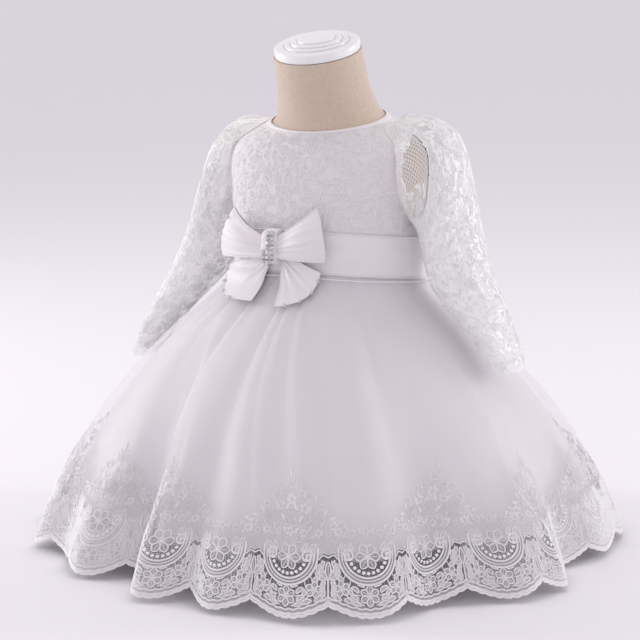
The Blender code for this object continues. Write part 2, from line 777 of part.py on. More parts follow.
def bow_point(u, v, n):
    """A point of the bow: u round the body, v up, and n out from the cloth that it lies on."""
    degrees = BOW_DEG + math.degrees(u / BOW_RADIUS)
    height = BOW_HEIGHT + v
    seam = waist_height(degrees)
    if height >= seam:
        under = form_point(degrees, height)
        radius = math.hypot(under.x, under.y) + BAND_OUTSIDE
    else:
        drop = (seam - height) / (seam - HEM_HEIGHT)
        under = skirt_point(degrees, drop)
        radius = math.hypot(under.x, under.y) + TULLE_OUTSIDE + 2 * GATHER_DEPTH
    angle = math.radians(degrees)
    radius += BOW_STAND_OFF + n
    return Vector((radius * math.sin(angle), -radius * math.cos(angle), height))


def pleat(share, count):
    """Height of a pleated surface across its width, from 0 to 1."""
    return 0.5 - 0.5 * math.cos(2 * math.pi * count * share)


def make_loops():
    """Two loops: each is a strip that leaves the knot, turns round and comes back in front."""
    for name, row in BOW_LOOPS.items():

        def surface(path, share, row=row):
            out = (1 - math.cos(2 * math.pi * path)) / 2
            reach = out * row.length * (1 - row.skew * share * out)
            half_height = mix(LOOP_START_HALF_HEIGHT, row.end_half_height, out**LOOP_SPREAD)
            v = row.rise * out + half_height * (2 * share - 1)
            turn = -math.sin(2 * math.pi * path)
            pillow = math.sin(math.pi * min(max(share, 0), 1)) * math.sin(math.pi * min(out, 0.5))
            gap = math.copysign(abs(turn) ** LOOP_BELLY, turn) * mix(LOOP_EDGE_PUFF, row.puff, pillow)
            n = LOOP_MIDDLE + row.lift * out + gap / 2
            n += PLEAT_DEPTH * pleat(share, LOOP_PLEATS) * (1 - out) * (1 if path > 0.5 else 0)
            u = row.side * (KNOT_HALF_WIDTH + LOOP_CLEAR + reach)
            return bow_point(u, v, n)

        stations = even_steps(LOOP_START, 1 - LOOP_START, LOOP_STATIONS)
        strips = even_steps(0, 1, LOOP_STRIPS)
        cloth(
            name, surface, stations, lambda s: strips,
            -BOW_WALL / 2, BOW_WALL / 2, "satin", LOOP_STEPS,
        )


def make_tails():
    """Two pleated tails that fan out below the loops."""
    for name, row in BOW_TAILS.items():

        def surface(share, run, row=row):
            start_v = mix(TAIL_START_TOP, TAIL_START_BOTTOM, share)
            start_u = KNOT_HALF_WIDTH + TAIL_CLEAR
            bend = row.bulge * math.sin(math.pi * share)
            end_u = mix(row.top_u, row.tip_u, share) + bend * TAIL_BEND
            end_v = mix(row.top_v, row.tip_v, share) - bend * TAIL_BEND
            u = mix(start_u, end_u, run)
            v = mix(start_v, end_v, run)
            n = TAIL_START_OUT + TAIL_FLARE * run
            n += PLEAT_DEPTH * pleat(share, TAIL_PLEATS) * (1 - TAIL_PLEAT_LOSS * run)
            return bow_point(row.side * u, v, n)

        strips = even_steps(0, 1, TAIL_STRIPS)
        stations = even_steps(0, 1, TAIL_STATIONS)
        cloth(
            name, surface, strips, lambda s: stations,
            -BOW_WALL / 2, BOW_WALL / 2, "satin", TAIL_STEPS,
        )


def make_knot():
    """The knot: a rounded upright block that the stones are set on."""
    bm = bmesh.new()
    bmesh.ops.create_cube(bm, size=1.0)
    for vert in bm.verts:
        vert.co.x *= 2 * KNOT_HALF_WIDTH
        vert.co.y *= KNOT_DEPTH
        vert.co.z *= 2 * KNOT_HALF_HEIGHT
    bmesh.ops.bevel(
        bm, geom=list(bm.edges), offset=KNOT_ROUNDING, segments=2, profile=0.5, affect="EDGES"
    )
    for vert in bm.verts:
        vert.co = bow_point(vert.co.x, vert.co.z, KNOT_DEPTH / 2 - vert.co.y)
    add_object("bow_knot", bm, "stones")


def main():
    clear_scene()
    make_form()
    make_bodice()
    make_waistband()
    make_sleeves()
    make_underskirt()
    make_overskirt()
    make_loops()
    make_tails()
    make_knot()


main()
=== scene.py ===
"""The christening gown on its baby dress form, dressed for rendering.

Metres, +Z up, the floor at z = 0. The wearer faces -Y and the wearer's left is +X. Angles round the
body are in degrees from the front, positive towards the wearer's left. Needlework is drawn flat in
millimetres and laid on the cloth.
"""

import math
from collections import namedtuple

import bmesh
import bpy
import numpy as np
from mathutils import Matrix, Vector


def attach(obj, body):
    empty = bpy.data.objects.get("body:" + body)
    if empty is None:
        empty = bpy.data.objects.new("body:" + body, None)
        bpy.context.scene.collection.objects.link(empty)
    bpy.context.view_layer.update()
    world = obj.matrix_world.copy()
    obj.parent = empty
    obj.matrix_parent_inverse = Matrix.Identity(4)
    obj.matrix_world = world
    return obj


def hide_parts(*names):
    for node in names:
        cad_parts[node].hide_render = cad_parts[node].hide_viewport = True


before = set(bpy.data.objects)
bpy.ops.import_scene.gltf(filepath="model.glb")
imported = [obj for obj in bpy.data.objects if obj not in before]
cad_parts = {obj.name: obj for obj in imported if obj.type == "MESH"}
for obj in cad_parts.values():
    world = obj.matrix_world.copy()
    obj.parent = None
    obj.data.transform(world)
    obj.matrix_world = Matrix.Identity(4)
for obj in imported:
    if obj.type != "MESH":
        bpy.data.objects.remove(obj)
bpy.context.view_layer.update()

MM = 0.001
SEED = 11

# Camera: its distance and height, how far it is turned to the wearer's left and tipped down.
CAMERA_DISTANCE = 2.5
CAMERA_HEIGHT = 0.61
CAMERA_TURN = 28.0
CAMERA_TIP = 8.9
SENSOR_MM = 36.0
LENS_MM = 143.8
SHIFT_X = -0.0156


def table(kind, *rows):
    """Rows of numbers as named rows."""
    return tuple(kind(*row) for row in rows)


# Sizes shared with the solids.
FormRow = namedtuple("FormRow", "height half_width half_depth centre_y tilt squareness")
FORM_ROWS = table(
    FormRow,
    (0.1500, 0.0640, 0.0520, 0.0000, 0, 2.2), (0.1570, 0.0800, 0.0650, 0.0000, 0, 2.2),
    (0.1720, 0.0890, 0.0730, 0.0000, 0, 2.2), (0.2660, 0.0935, 0.0760, 0.0000, 0, 2.2),
    (0.3100, 0.0935, 0.0750, 0.0000, 0, 2.3), (0.3450, 0.0955, 0.0725, 0.0000, 0, 2.4),
    (0.3700, 0.0970, 0.0690, 0.0000, 0, 2.5), (0.3850, 0.0965, 0.0640, 0.0000, 0, 2.5),
    (0.3940, 0.0930, 0.0590, 0.0000, 1, 2.4), (0.4010, 0.0860, 0.0555, -0.0005, 3, 2.3),
    (0.4075, 0.0755, 0.0535, -0.0010, 6, 2.2), (0.4140, 0.0640, 0.0520, -0.0020, 9, 2.1),
    (0.4205, 0.0540, 0.0510, -0.0030, 11, 2.0), (0.4300, 0.0490, 0.0480, -0.0060, 13, 2.0),
    (0.4480, 0.0450, 0.0448, -0.0130, 15, 2.0), (0.4660, 0.0436, 0.0436, -0.0192, 15.5, 2.0),
    (0.4840, 0.0430, 0.0430, -0.0250, 15.5, 2.0),
)
WAIST_HEIGHT = 0.2665
WAIST_SLOPE = 0.12
WAIST_HALF_WIDTH = 0.096
WAIST_HALF_DEPTH = 0.078
BAND_HEIGHT = 0.040
NECKLINE_HEIGHT = 0.4180
ARMHOLE_HEIGHT = 0.3695
ARMHOLE_HALF_HEIGHT = 0.0435
ARMHOLE_HALF_DEPTH = 0.034
SEAM = 0.3 * MM

SleeveRow = namedtuple("SleeveRow", "outer_x outer_z inner_x inner_z half_depth centre_y")
SLEEVE_ROWS = {
    "sleeve_left": table(
        SleeveRow,
        (0.0850, 0.4240, 0.1010, 0.3170, 0.0400, 0.000), (0.1010, 0.4240, 0.1035, 0.3130, 0.0440, 0.001),
        (0.1170, 0.4200, 0.1055, 0.3080, 0.0460, 0.002), (0.1310, 0.4080, 0.1075, 0.3020, 0.0470, 0.003),
        (0.1410, 0.3840, 0.1090, 0.2930, 0.0460, 0.003), (0.1490, 0.3480, 0.1110, 0.2820, 0.0450, 0.001),
        (0.1600, 0.3120, 0.1170, 0.2680, 0.0430, -0.003), (0.1750, 0.2740, 0.1320, 0.2480, 0.0400, -0.006),
        (0.1920, 0.2380, 0.1560, 0.2250, 0.0350, -0.010), (0.2060, 0.2070, 0.1800, 0.2000, 0.0290, -0.013),
        (0.2130, 0.1880, 0.1930, 0.1840, 0.0250, -0.014),
    ),
    "sleeve_right": table(
        SleeveRow,
        (0.0850, 0.4165, 0.1020, 0.3170, 0.0410, 0.000), (0.0975, 0.4150, 0.1045, 0.3120, 0.0430, 0.000),
        (0.1085, 0.4090, 0.1050, 0.3060, 0.0430, -0.001), (0.1200, 0.3960, 0.1070, 0.3000, 0.0435, -0.002),
        (0.1280, 0.3730, 0.1085, 0.2910, 0.0430, -0.003), (0.1380, 0.3390, 0.1110, 0.2790, 0.0430, -0.004),
        (0.1520, 0.3010, 0.1180, 0.2640, 0.0420, -0.006), (0.1710, 0.2600, 0.1360, 0.2430, 0.0380, -0.007),
        (0.1920, 0.2240, 0.1630, 0.2170, 0.0330, -0.008), (0.2090, 0.1920, 0.1890, 0.1870, 0.0280, -0.009),
        (0.2190, 0.1740, 0.2010, 0.1700, 0.0250, -0.010),
    ),
}
SLEEVE_SEAT = 3.0 * MM
SLEEVE_STAND_OFF = 1.1 * MM
SLEEVE_GATHER = 1.7 * MM
SLEEVE_WAVE = 1.0 * MM

ProfileRow = namedtuple("ProfileRow", "height_share radius")
SKIRT_PROFILE = table(
    ProfileRow,
    (0.000, 0.2900), (0.070, 0.2845), (0.210, 0.2680), (0.340, 0.2490), (0.510, 0.2190), (0.660, 0.1840),
    (0.790, 0.1490), (0.880, 0.1195), (0.945, 0.1000), (0.980, 0.0943), (1.000, 0.0935),
)
HEM_HEIGHT = 0.004
WAIST_SHAPE_ENDS_AT = 0.55

FoldRow = namedtuple("FoldRow", "waist_deg hem_deg out_mm")
SKIRT_FOLDS = table(
    FoldRow,
    (-168, -167, -24), (-151, -150, 4), (-135, -133, -22), (-118, -115, 5), (-98, -93, -26),
    (-82, -74, 6), (-68, -62, -15), (-60, -52, 2), (-51, -42, -20), (-42, -27, 0), (-26, -16, -47),
    (-13, -7, 14), (-4, 1, -3), (3, 9, 23), (7, 14, 21), (16, 25, 41), (32, 36, 38), (47, 48, -2),
    (58, 56, 5), (68, 64, 21), (80, 72, 10), (92, 86, -33), (106, 100, -12), (122, 121, 1),
    (138, 138, -24), (155, 155, 5), (173, 174, -20), (184, 184, 4),
)
# Sharp edges of folds: places in scallops at the drops below, each steep on one side.
FoldEdge = namedtuple("FoldEdge", "steep_side height_mm places")
FOLD_EDGE_DROPS = (0.05, 0.23, 0.45, 0.65, 0.80, 0.98)
FOLD_EDGES = table(
    FoldEdge,
    (1, 4.5, (2.90, 3.40, 3.56, 3.52, 3.84, 3.95)),
    (-1, 4.5, (-3.60, -3.05, -2.42, -2.14, -2.20, -2.15)),
    (1, 2.5, (0.95, 0.75, 0.62, 0.55, 0.50, 0.50)),
    (-1, 2.2, (-0.55, -0.70, -0.62, -0.55, -0.60, -0.70)),
    (1, 3.0, (7.60, 7.40, 7.55, 7.70, 7.80, 7.90)),
    (-1, 3.5, (12.10, 12.30, 12.10, 12.00, 11.90, 11.80)),
    (-1, 3.0, (-7.90, -8.10, -8.00, -7.90, -7.80, -7.90)),
)
FOLD_EDGE_STEEP = 0.09
FOLD_EDGE_SLOPE = 0.40
FOLD_EDGES_FULL_BY = 0.15
FOLDS_OPEN_AT = 0.10
FOLDS_SETTLE_AT = 0.714
FOLD_GROWTH = 1.25
GATHERS = 52
GATHER_DEPTH = 1.5 * MM
GATHERS_START_BY = 0.03
GATHERS_END_AT = 0.42
PLEAT_HEIGHT = 1.7 * MM
PLEATS_FULL_BY = 0.2
PLEATS_FADE_FROM = 0.45
PLEATS_FADE_OVER = 0.5
SCALLOPS = 26
SCALLOP_DEPTH = 0.045
FIRST_SCALLOP_DEG = 21.2
COLUMNS_PER_SCALLOP = 4
SCALLOPS_PER_PEAK = 2
# The underskirt: where it ends, how much lower it hangs at its sides, and how far in it lies.
UNDERSKIRT_DROP = 0.82
UNDERSKIRT_SAG = 0.03
UNDERSKIRT_SAG_TURN = 50.0
UNDERSKIRT_INSET = 0.012
UNDERSKIRT_INSET_AT = 0.667
UNDERSKIRT_FOLD_SHARE = 0.82

# The bow: where it sits, its knot, and its loops and tails. Across is u, up is v, and out is n.
BOW_DEG = -12.2
BOW_HEIGHT = 0.3000
BOW_RADIUS = 0.090
BOW_STAND_OFF = 0.7 * MM
KNOT_HALF_WIDTH = 8.5 * MM
KNOT_HALF_HEIGHT = 17.5 * MM
KNOT_DEPTH = 13.0 * MM
LOOP_IN_KNOT = 0.3 * MM
TAIL_IN_KNOT = 0.5 * MM
LoopRow = namedtuple("LoopRow", "side length rise end_half_height puff skew lift")
BOW_LOOPS = {
    "bow_loop_left": LoopRow(1, 0.0525, 0.0135, 0.0255, 0.0130, 0.15, 0.0),
    "bow_loop_right": LoopRow(-1, 0.0620, 0.0110, 0.0250, 0.0130, 0.44, 0.0040),
}
LOOP_START_HALF_HEIGHT = 0.0095
LOOP_MIDDLE = 0.0090
LOOP_SPREAD = 0.85
LOOP_EDGE_PUFF = 3.2 * MM
LOOP_CORNER_CUT = 0.06
LOOP_CREASE = 1.9 * MM
LOOP_CREASES = 5
LOOP_WAVE = 0.5 * MM
LOOP_EDGE_WAVE = 1.6 * MM
TailRow = namedtuple("TailRow", "side top_u top_v tip_u tip_v bulge")
BOW_TAILS = {
    "bow_tail_left": TailRow(1, 0.0540, -0.0225, 0.0190, -0.0530, 0.0090),
    "bow_tail_right": TailRow(-1, 0.0660, -0.0240, 0.0040, -0.0500, 0.0110),
}
TAIL_START_TOP = -0.0040
TAIL_START_BOTTOM = -0.0172
TAIL_START_OUT = 0.0010
TAIL_FLARE = 0.0045
TAIL_BEND = 0.7
TAIL_CREASE = 1.8 * MM
TAIL_CREASES = 4
TAIL_WAVE = 0.8 * MM
TAIL_FACE_OUT = 0.6 * MM

# Distances of the cloth from the dress form or from the skirt's own form.
BODICE_OUT = 1.4 * MM
BAND_OUT = 2.9 * MM
SATIN_OUT = 1.0 * MM
TULLE_OUT = 2.4 * MM
EMBROIDERY_OUT = 2.6 * MM
BAND_OUTSIDE = 3.2 * MM
TULLE_OUTSIDE = 2.9 * MM

# Flared skirt panels as they are cut, in metres: along the waist, along the hem, and down.
SkirtCut = namedtuple("SkirtCut", "waist hem length")
TULLE_CUTS = {
    "front": SkirtCut(0.40, 1.08, 0.345),
    "back_left": SkirtCut(0.20, 0.54, 0.330),
    "back_right": SkirtCut(0.20, 0.54, 0.330),
}


# Curves and colours


def through(places, values, place):
    """A smooth curve through values at rising places, held level past the ends."""
    places = np.asarray(places, float)
    values = np.asarray(values, float)
    place = np.clip(place, places[0], places[-1])
    i = np.clip(np.searchsorted(places, place, side="right") - 1, 0, len(places) - 2)
    slopes = np.empty(len(values))
    slopes[1:-1] = (values[2:] - values[:-2]) / (places[2:] - places[:-2])
    slopes[0] = (values[1] - values[0]) / (places[1] - places[0])
    slopes[-1] = (values[-1] - values[-2]) / (places[-1] - places[-2])
    span = places[i + 1] - places[i]
    t = (place - places[i]) / span
    return (
        (2 * t**3 - 3 * t**2 + 1) * values[i]
        + (t**3 - 2 * t**2 + t) * span * slopes[i]
        + (3 * t**2 - 2 * t**3) * values[i + 1]
        + (t**3 - t**2) * span * slopes[i + 1]
    )


def column(rows, name):
    """One column of a table."""
    return np.array([getattr(row, name) for row in rows], float)


def ease(share):
    """0 to 1 with a level start and end."""
    share = np.clip(share, 0.0, 1.0)
    return share * share * (3.0 - 2.0 * share)


def mix(a, b, share):
    """The value this share of the way from a to b."""
    return a + (b - a) * share


def unit(vectors):
    """Vectors brought to a length of one."""
    return vectors / np.maximum(np.linalg.norm(vectors, axis=-1, keepdims=True), 1e-9)


def run_along(line):
    """How far each point of a line is from its start."""
    steps = np.linalg.norm(np.diff(line, axis=0), axis=1)
    return np.concatenate([[0.0], np.cumsum(steps)])


def polar(radius, degrees, height):
    """Points at a radius and an angle round the body."""
    angle = np.radians(degrees)
    return np.stack([radius * np.sin(angle), -radius * np.cos(angle), height + 0 * angle], -1)


def linear(code):
    """An sRGB hex colour as linear red, green, blue and alpha."""
    parts = [int(code[i : i + 2], 16) / 255 for i in (1, 3, 5)]
    return (*[p / 12.92 if p <= 0.04045 else ((p + 0.055) / 1.055) ** 2.4 for p in parts], 1.0)


# Surfaces: each takes arrays of two places and gives points


def form_point(degrees, height):
    """The dress form's skin."""
    heights = column(FORM_ROWS, "height")
    half_width, half_depth, centre_y, tilt, power = (
        through(heights, column(FORM_ROWS, name), height) for name in FormRow._fields[1:]
    )
    angle = np.radians(degrees)
    across = np.abs(np.sin(angle)) / half_width
    along = np.abs(np.cos(angle)) / half_depth
    radius = (across**power + along**power) ** (-1.0 / power)
    forward = -radius * np.cos(angle)
    lean = np.radians(tilt)
    return np.stack(
        [
            radius * np.sin(angle),
            centre_y + forward * np.cos(lean),
            height + forward * np.sin(lean) + 0 * angle,
        ],
        -1,
    )


def waist_height(degrees):
    """Height of the waist seam."""
    angle = np.radians(degrees)
    radius = 1 / np.hypot(np.sin(angle) / WAIST_HALF_WIDTH, np.cos(angle) / WAIST_HALF_DEPTH)
    return WAIST_HEIGHT + WAIST_SLOPE * radius * np.cos(angle)


# The folds with the first once more, so that they go all round.
FIRST_FOLD = SKIRT_FOLDS[0]
FOLD_ROUND = SKIRT_FOLDS + (
    FoldRow(FIRST_FOLD.waist_deg + 360, FIRST_FOLD.hem_deg + 360, FIRST_FOLD.out_mm),
)


def skirt_point(hem_degrees, drop, inset=0.0, fold_share=1.0):
    """The skirt: a fold line's angle at the hem, and a share of the drop from waist to hem."""
    hem_degrees, drop = np.broadcast_arrays(np.asarray(hem_degrees, float), np.asarray(drop, float))
    marks = column(FOLD_ROUND, "hem_deg")
    turns = np.floor((hem_degrees - marks[0]) / 360)
    within = hem_degrees - 360 * turns
    at_waist = np.interp(within, marks, column(FOLD_ROUND, "waist_deg"))
    degrees = 360 * turns + mix(at_waist, within, ease(drop / FOLDS_SETTLE_AT))
    i = np.clip(np.searchsorted(marks, within, side="right") - 1, 0, len(marks) - 2)
    share = (within - marks[i]) / (marks[i + 1] - marks[i])
    out = column(FOLD_ROUND, "out_mm") * MM
    fold = mix(out[i], out[i + 1], ease(share))
    seam = waist_height(degrees)
    at_seam = form_point(degrees, seam)
    shares, radii = (column(SKIRT_PROFILE, name) for name in ProfileRow._fields)
    radius = through(shares, radii, 1 - drop)
    oval = np.hypot(at_seam[..., 0], at_seam[..., 1]) - SKIRT_PROFILE[-1].radius
    radius = radius + oval * (1 - ease(drop / WAIST_SHAPE_ENDS_AT))
    opening = np.maximum(drop - FOLDS_OPEN_AT, 0.0) / (1 - FOLDS_OPEN_AT)
    radius = radius + fold * fold_share * opening**FOLD_GROWTH
    radius = radius - inset * ease(drop / UNDERSKIRT_INSET_AT)
    return polar(radius, degrees, mix(seam - SEAM, HEM_HEIGHT, drop))


# Distances along the folded hem, measured at this many places.
HEM_MEASURES = 1440
hem_angles = FIRST_SCALLOP_DEG + np.linspace(0, 360, HEM_MEASURES + 1)
hem_lengths = run_along(skirt_point(hem_angles, 1.0))


def hem_angle(scallop):
    """The hem angle at a place counted in scallops along the folded hem."""
    turns = np.floor(scallop / SCALLOPS)
    along = (scallop / SCALLOPS - turns) * hem_lengths[-1]
    return np.interp(along, hem_lengths, hem_angles) + 360 * turns


def tulle_point(scallop, drop):
    """The overskirt: places along the hem in scallops, with its gathers, pleats and fold edges."""
    point = skirt_point(hem_angle(scallop), drop)
    turn = 2 * np.pi * scallop / SCALLOPS
    swell = ease(drop / GATHERS_START_BY) * (1 - ease(drop / GATHERS_END_AT))
    wander = 0.75 + 0.25 * np.sin(7 * turn + 1.0) * np.sin(11 * turn)
    rise = GATHER_DEPTH * swell * (1 + np.cos(GATHERS * turn)) * wander
    # Two rounds of waves that don't keep time make pleats of many widths below the gathers.
    soft = ease(drop / PLEATS_FULL_BY) * (1 - ease((drop - PLEATS_FADE_FROM) / PLEATS_FADE_OVER))
    pleats = np.sin(23 * turn + 1.3 * np.sin(5 * turn)) + 0.7 * np.sin(37 * turn + 2 * np.sin(3 * turn))
    rise = rise + PLEAT_HEIGHT * soft * pleats
    for edge in FOLD_EDGES:
        line = np.interp(drop, FOLD_EDGE_DROPS, edge.places)
        away = (scallop - line + SCALLOPS / 2) % SCALLOPS - SCALLOPS / 2
        reach = np.where(away * edge.steep_side > 0, FOLD_EDGE_STEEP, FOLD_EDGE_SLOPE)
        swell = edge.height_mm * MM * np.exp(-((away / reach) ** 2))
        rise = rise + swell * ease(drop / FOLD_EDGES_FULL_BY)
    outwards = unit(point[..., :2])
    return point + np.concatenate([outwards * rise[..., None], 0 * rise[..., None]], -1)


def scallop_bottom(scallop):
    """Share of the drop at which the scalloped hem ends."""
    return 1.0 - SCALLOP_DEPTH * (1 - np.abs(np.cos(np.pi * scallop)))


def satin_point(hem_degrees, drop):
    """The underskirt, inside the overskirt and with flatter folds."""
    return skirt_point(hem_degrees, drop, UNDERSKIRT_INSET, UNDERSKIRT_FOLD_SHARE)


# Steps to either side by which a surface's normal is taken; a negative one turns it round.
FORM_STEPS = (1.0, 0.5 * MM)
SKIRT_STEPS = (0.04, -0.003)
SATIN_STEPS = (0.5, -0.003)
REACH_TRIES = 30


def lifted(surface, s, t, out, s_step, t_step):
    """Points of a surface moved out along its normal."""
    across = surface(s + s_step, t) - surface(s - s_step, t)
    along = surface(s, t + t_step) - surface(s, t - t_step)
    return surface(s, t) + unit(np.cross(across, along)) * np.asarray(out)[..., None]


def on_form(degrees, height, out):
    """Points this far out from the dress form's skin."""
    degrees, height, out = (1.0 * part for part in np.broadcast_arrays(degrees, height, out))
    return lifted(form_point, degrees, height, out, *FORM_STEPS)


def bodice_reach(y, z, out):
    """Points of the bodice, this far out, found from where they lie from the side."""
    degrees = np.full_like(y, 90.0)
    height = z.copy()
    for _ in range(REACH_TRIES):
        point = on_form(degrees, height, out)
        degrees = degrees + np.degrees((y - point[..., 1]) / point[..., 0])
        height = height + z - point[..., 2]
    return point


def sleeve_point(name, side):
    """The surface of a sleeve: share of a turn round the arm, and rows along it from the armhole."""
    rows = SLEEVE_ROWS[name]
    places = np.arange(1, len(rows) + 1)
    seat_turns = np.linspace(0, 1, 97)
    seat_ring = bodice_reach(
        (ARMHOLE_HALF_DEPTH + SLEEVE_SEAT) * np.sin(2 * np.pi * seat_turns),
        ARMHOLE_HEIGHT + (ARMHOLE_HALF_HEIGHT + SLEEVE_SEAT) * np.cos(2 * np.pi * seat_turns),
        BODICE_OUT + SLEEVE_STAND_OFF,
    )

    def surface(turn, run):
        turn, run = np.broadcast_arrays(np.asarray(turn, float), np.asarray(run, float))
        angle = 2 * np.pi * turn
        outer_x, outer_z, inner_x, inner_z, half_depth, centre_y = (
            through(places, column(rows, field), run) for field in SleeveRow._fields
        )
        # Twelve uneven gathers fade out by the fourth row, where a slow wave takes over.
        gather = ease(1 - (run - 1) / 3) * (0.8 + 0.2 * np.sin(5 * angle))
        fold = gather * SLEEVE_GATHER * np.cos(12 * angle + 0.5 * np.sin(3 * angle))
        fold = fold + SLEEVE_WAVE * np.sin(1.9 * run + 3 * angle) * ease((run - 3) / 3)
        half = np.hypot(outer_x - inner_x, outer_z - inner_z) / 2
        reach = (1 + fold / half) * np.cos(angle)
        ring = np.stack(
            [
                (outer_x + inner_x) / 2 + (outer_x - inner_x) / 2 * reach,
                centre_y + (half_depth + fold) * np.sin(angle),
                (outer_z + inner_z) / 2 + (outer_z - inner_z) / 2 * reach,
            ],
            -1,
        )
        seat = np.stack([np.interp(turn % 1, seat_turns, seat_ring[:, k]) for k in range(3)], -1)
        return mix(seat, ring, np.clip(run, 0, 1)[..., None]) * np.array([side, 1, 1])

    return surface


# Meshes


def show(name, data):
    """Puts a mesh, a light or a camera into the scene."""
    piece = bpy.data.objects.new(name, data)
    bpy.context.scene.collection.objects.link(piece)
    return piece


def add_mesh(name, points, faces, material, uv=None):
    """A smooth-shaded object from points and faces, with a place on the cloth for each point."""
    mesh = bpy.data.meshes.new(name)
    mesh.from_pydata(points.reshape(-1, 3).tolist(), [], faces.tolist())
    if uv is not None:
        layer = mesh.uv_layers.new(name="cloth")
        corner = np.empty(len(mesh.loops), int)
        mesh.loops.foreach_get("vertex_index", corner)
        layer.data.foreach_set("uv", uv.reshape(-1, 2)[corner].ravel())
    mesh.shade_smooth()
    mesh.materials.append(material)
    return show(name, mesh)


def grid_faces(columns, rows, closed=False, flip=False):
    """Quads of a grid of points, closed from the last row to the first if asked."""
    index = np.arange(columns * rows).reshape(columns, rows)
    if closed:
        index = np.hstack([index, index[:, :1]])
    quads = np.stack([index[:-1, :-1], index[1:, :-1], index[1:, 1:], index[:-1, 1:]], -1)
    quads = quads.reshape(-1, 4)
    return quads[:, ::-1] if flip else quads


def flat_places(points):
    """Places on the flat cloth, in metres, for a grid of points: across at mid-height, and down."""
    across = np.linalg.norm(np.diff(points, axis=0), axis=-1).mean(1)
    across = np.concatenate([[0.0], np.cumsum(across)])
    down = np.linalg.norm(np.diff(points, axis=1), axis=-1)
    down = np.concatenate([np.zeros((len(points), 1)), np.cumsum(down, 1)], 1)
    return np.stack([np.broadcast_to(across[:, None], down.shape), down], -1)


def sheet_mesh(name, points, material, closed=False, flip=False):
    """A sheet of cloth through a grid of points (columns, rows, 3), closed round if asked."""
    if closed:
        points = np.concatenate([points, points[:1]])
    faces = grid_faces(points.shape[0], points.shape[1], flip=flip)
    return add_mesh(name, points, faces, material, flat_places(points))


def reshaped(mesh, work):
    """Lets a function change a mesh's points and faces."""
    bm = bmesh.new()
    bm.from_mesh(mesh)
    work(bm)
    bm.to_mesh(mesh)
    bm.free()


# Materials

MATH = "ShaderNodeMath"


def put(tree, kind, links=None, **settings):
    """Adds a node: settings are its properties, and links its inputs.

    An input is given as a value, an output or a node, which passes on its first output.
    """
    made = tree.nodes.new(kind)
    for name, value in settings.items():
        setattr(made, name, value)
    for name, value in (links or {}).items():
        if isinstance(value, bpy.types.Node):
            value = value.outputs[0]
        if isinstance(value, bpy.types.NodeSocket):
            tree.links.new(value, made.inputs[name])
        else:
            made.inputs[name].default_value = value
    return made


def start_material(name, **sockets):
    """A material with a Principled shader whose sockets are set."""
    material = bpy.data.materials.new(name)
    material.use_nodes = True
    tree = material.node_tree
    shader = tree.nodes["Principled BSDF"]
    for socket, value in sockets.items():
        shader.inputs[socket.replace("_", " ")].default_value = value
    return material, tree, shader


def colour_by(tree, shader, factor, low, high):
    """Gives the shader a colour between two hex colours."""
    colours = put(tree, "ShaderNodeMix", {0: factor, 6: linear(low), 7: linear(high)}, data_type="RGBA")
    tree.links.new(colours.outputs[2], shader.inputs["Base Color"])


def raise_by(tree, shader, height, distance):
    """Gives the shader a bump of this many metres."""
    bump = put(tree, "ShaderNodeBump", {"Height": height, "Distance": distance, "Strength": 1.0})
    tree.links.new(bump.outputs[0], shader.inputs["Normal"])


def threads(tree, spacing, turn=0.0):
    """Stripes across the cloth's own places: 0 between threads to 1 along their middles."""
    places = put(tree, "ShaderNodeUVMap", uv_map="cloth")
    slanted = put(tree, "ShaderNodeMapping", {"Vector": places, "Rotation": (0, 0, math.radians(turn))})
    across = put(tree, "ShaderNodeSeparateXYZ", {0: slanted})
    angle = put(tree, MATH, {0: across, 1: 2 * math.pi / spacing}, operation="MULTIPLY")
    wave = put(tree, MATH, {0: angle}, operation="SINE")
    return put(tree, MATH, {0: wave, 1: 0.5, 2: 0.5}, operation="MULTIPLY_ADD")


def cloudy(tree, size):
    """Slow unevenness over the object, its patches about this size."""
    place = put(tree, "ShaderNodeTexCoord").outputs["Object"]
    return put(tree, "ShaderNodeTexNoise", {"Vector": place, "Scale": 1 / size, "Detail": 3.0})


def blend(tree, a, b, share):
    """The sum of this share of a and the rest of b."""
    rest = put(tree, MATH, {0: b, 1: 1 - share}, operation="MULTIPLY")
    return put(tree, MATH, {0: a, 1: share, 2: rest}, operation="MULTIPLY_ADD")


def make_linen():
    """Plain-woven linen, unbleached: slubby crossing threads, drawn twice their 0.5 mm to show."""
    material, tree, shader = start_material(
        "unbleached_linen", Roughness=0.85, Sheen_Weight=0.6, Sheen_Roughness=0.35
    )
    weave = put(tree, MATH, {0: threads(tree, 1.0 * MM), 1: threads(tree, 1.1 * MM, 90)}, operation="MAXIMUM")
    slubs = put(tree, MATH, {0: weave, 1: cloudy(tree, 4 * MM)}, operation="MULTIPLY")
    shade = put(tree, MATH, {0: slubs, 1: 0.9, 2: 0.15}, operation="MULTIPLY_ADD")
    colour_by(tree, shader, shade, "#C2AC99", "#E6D7C6")
    raise_by(tree, shader, slubs, 0.25 * MM)
    return material


def make_enamel():
    """Turned wood sprayed with white enamel: glossy, with faint unevenness under the gloss."""
    material, tree, shader = start_material(
        "sprayed_white_enamel", Roughness=0.22, Coat_Weight=0.4, Coat_Roughness=0.08
    )
    uneven = cloudy(tree, 12 * MM)
    colour_by(tree, shader, uneven, "#EEEEEF", "#F8F8F8")
    raise_by(tree, shader, uneven, 0.05 * MM)
    return material


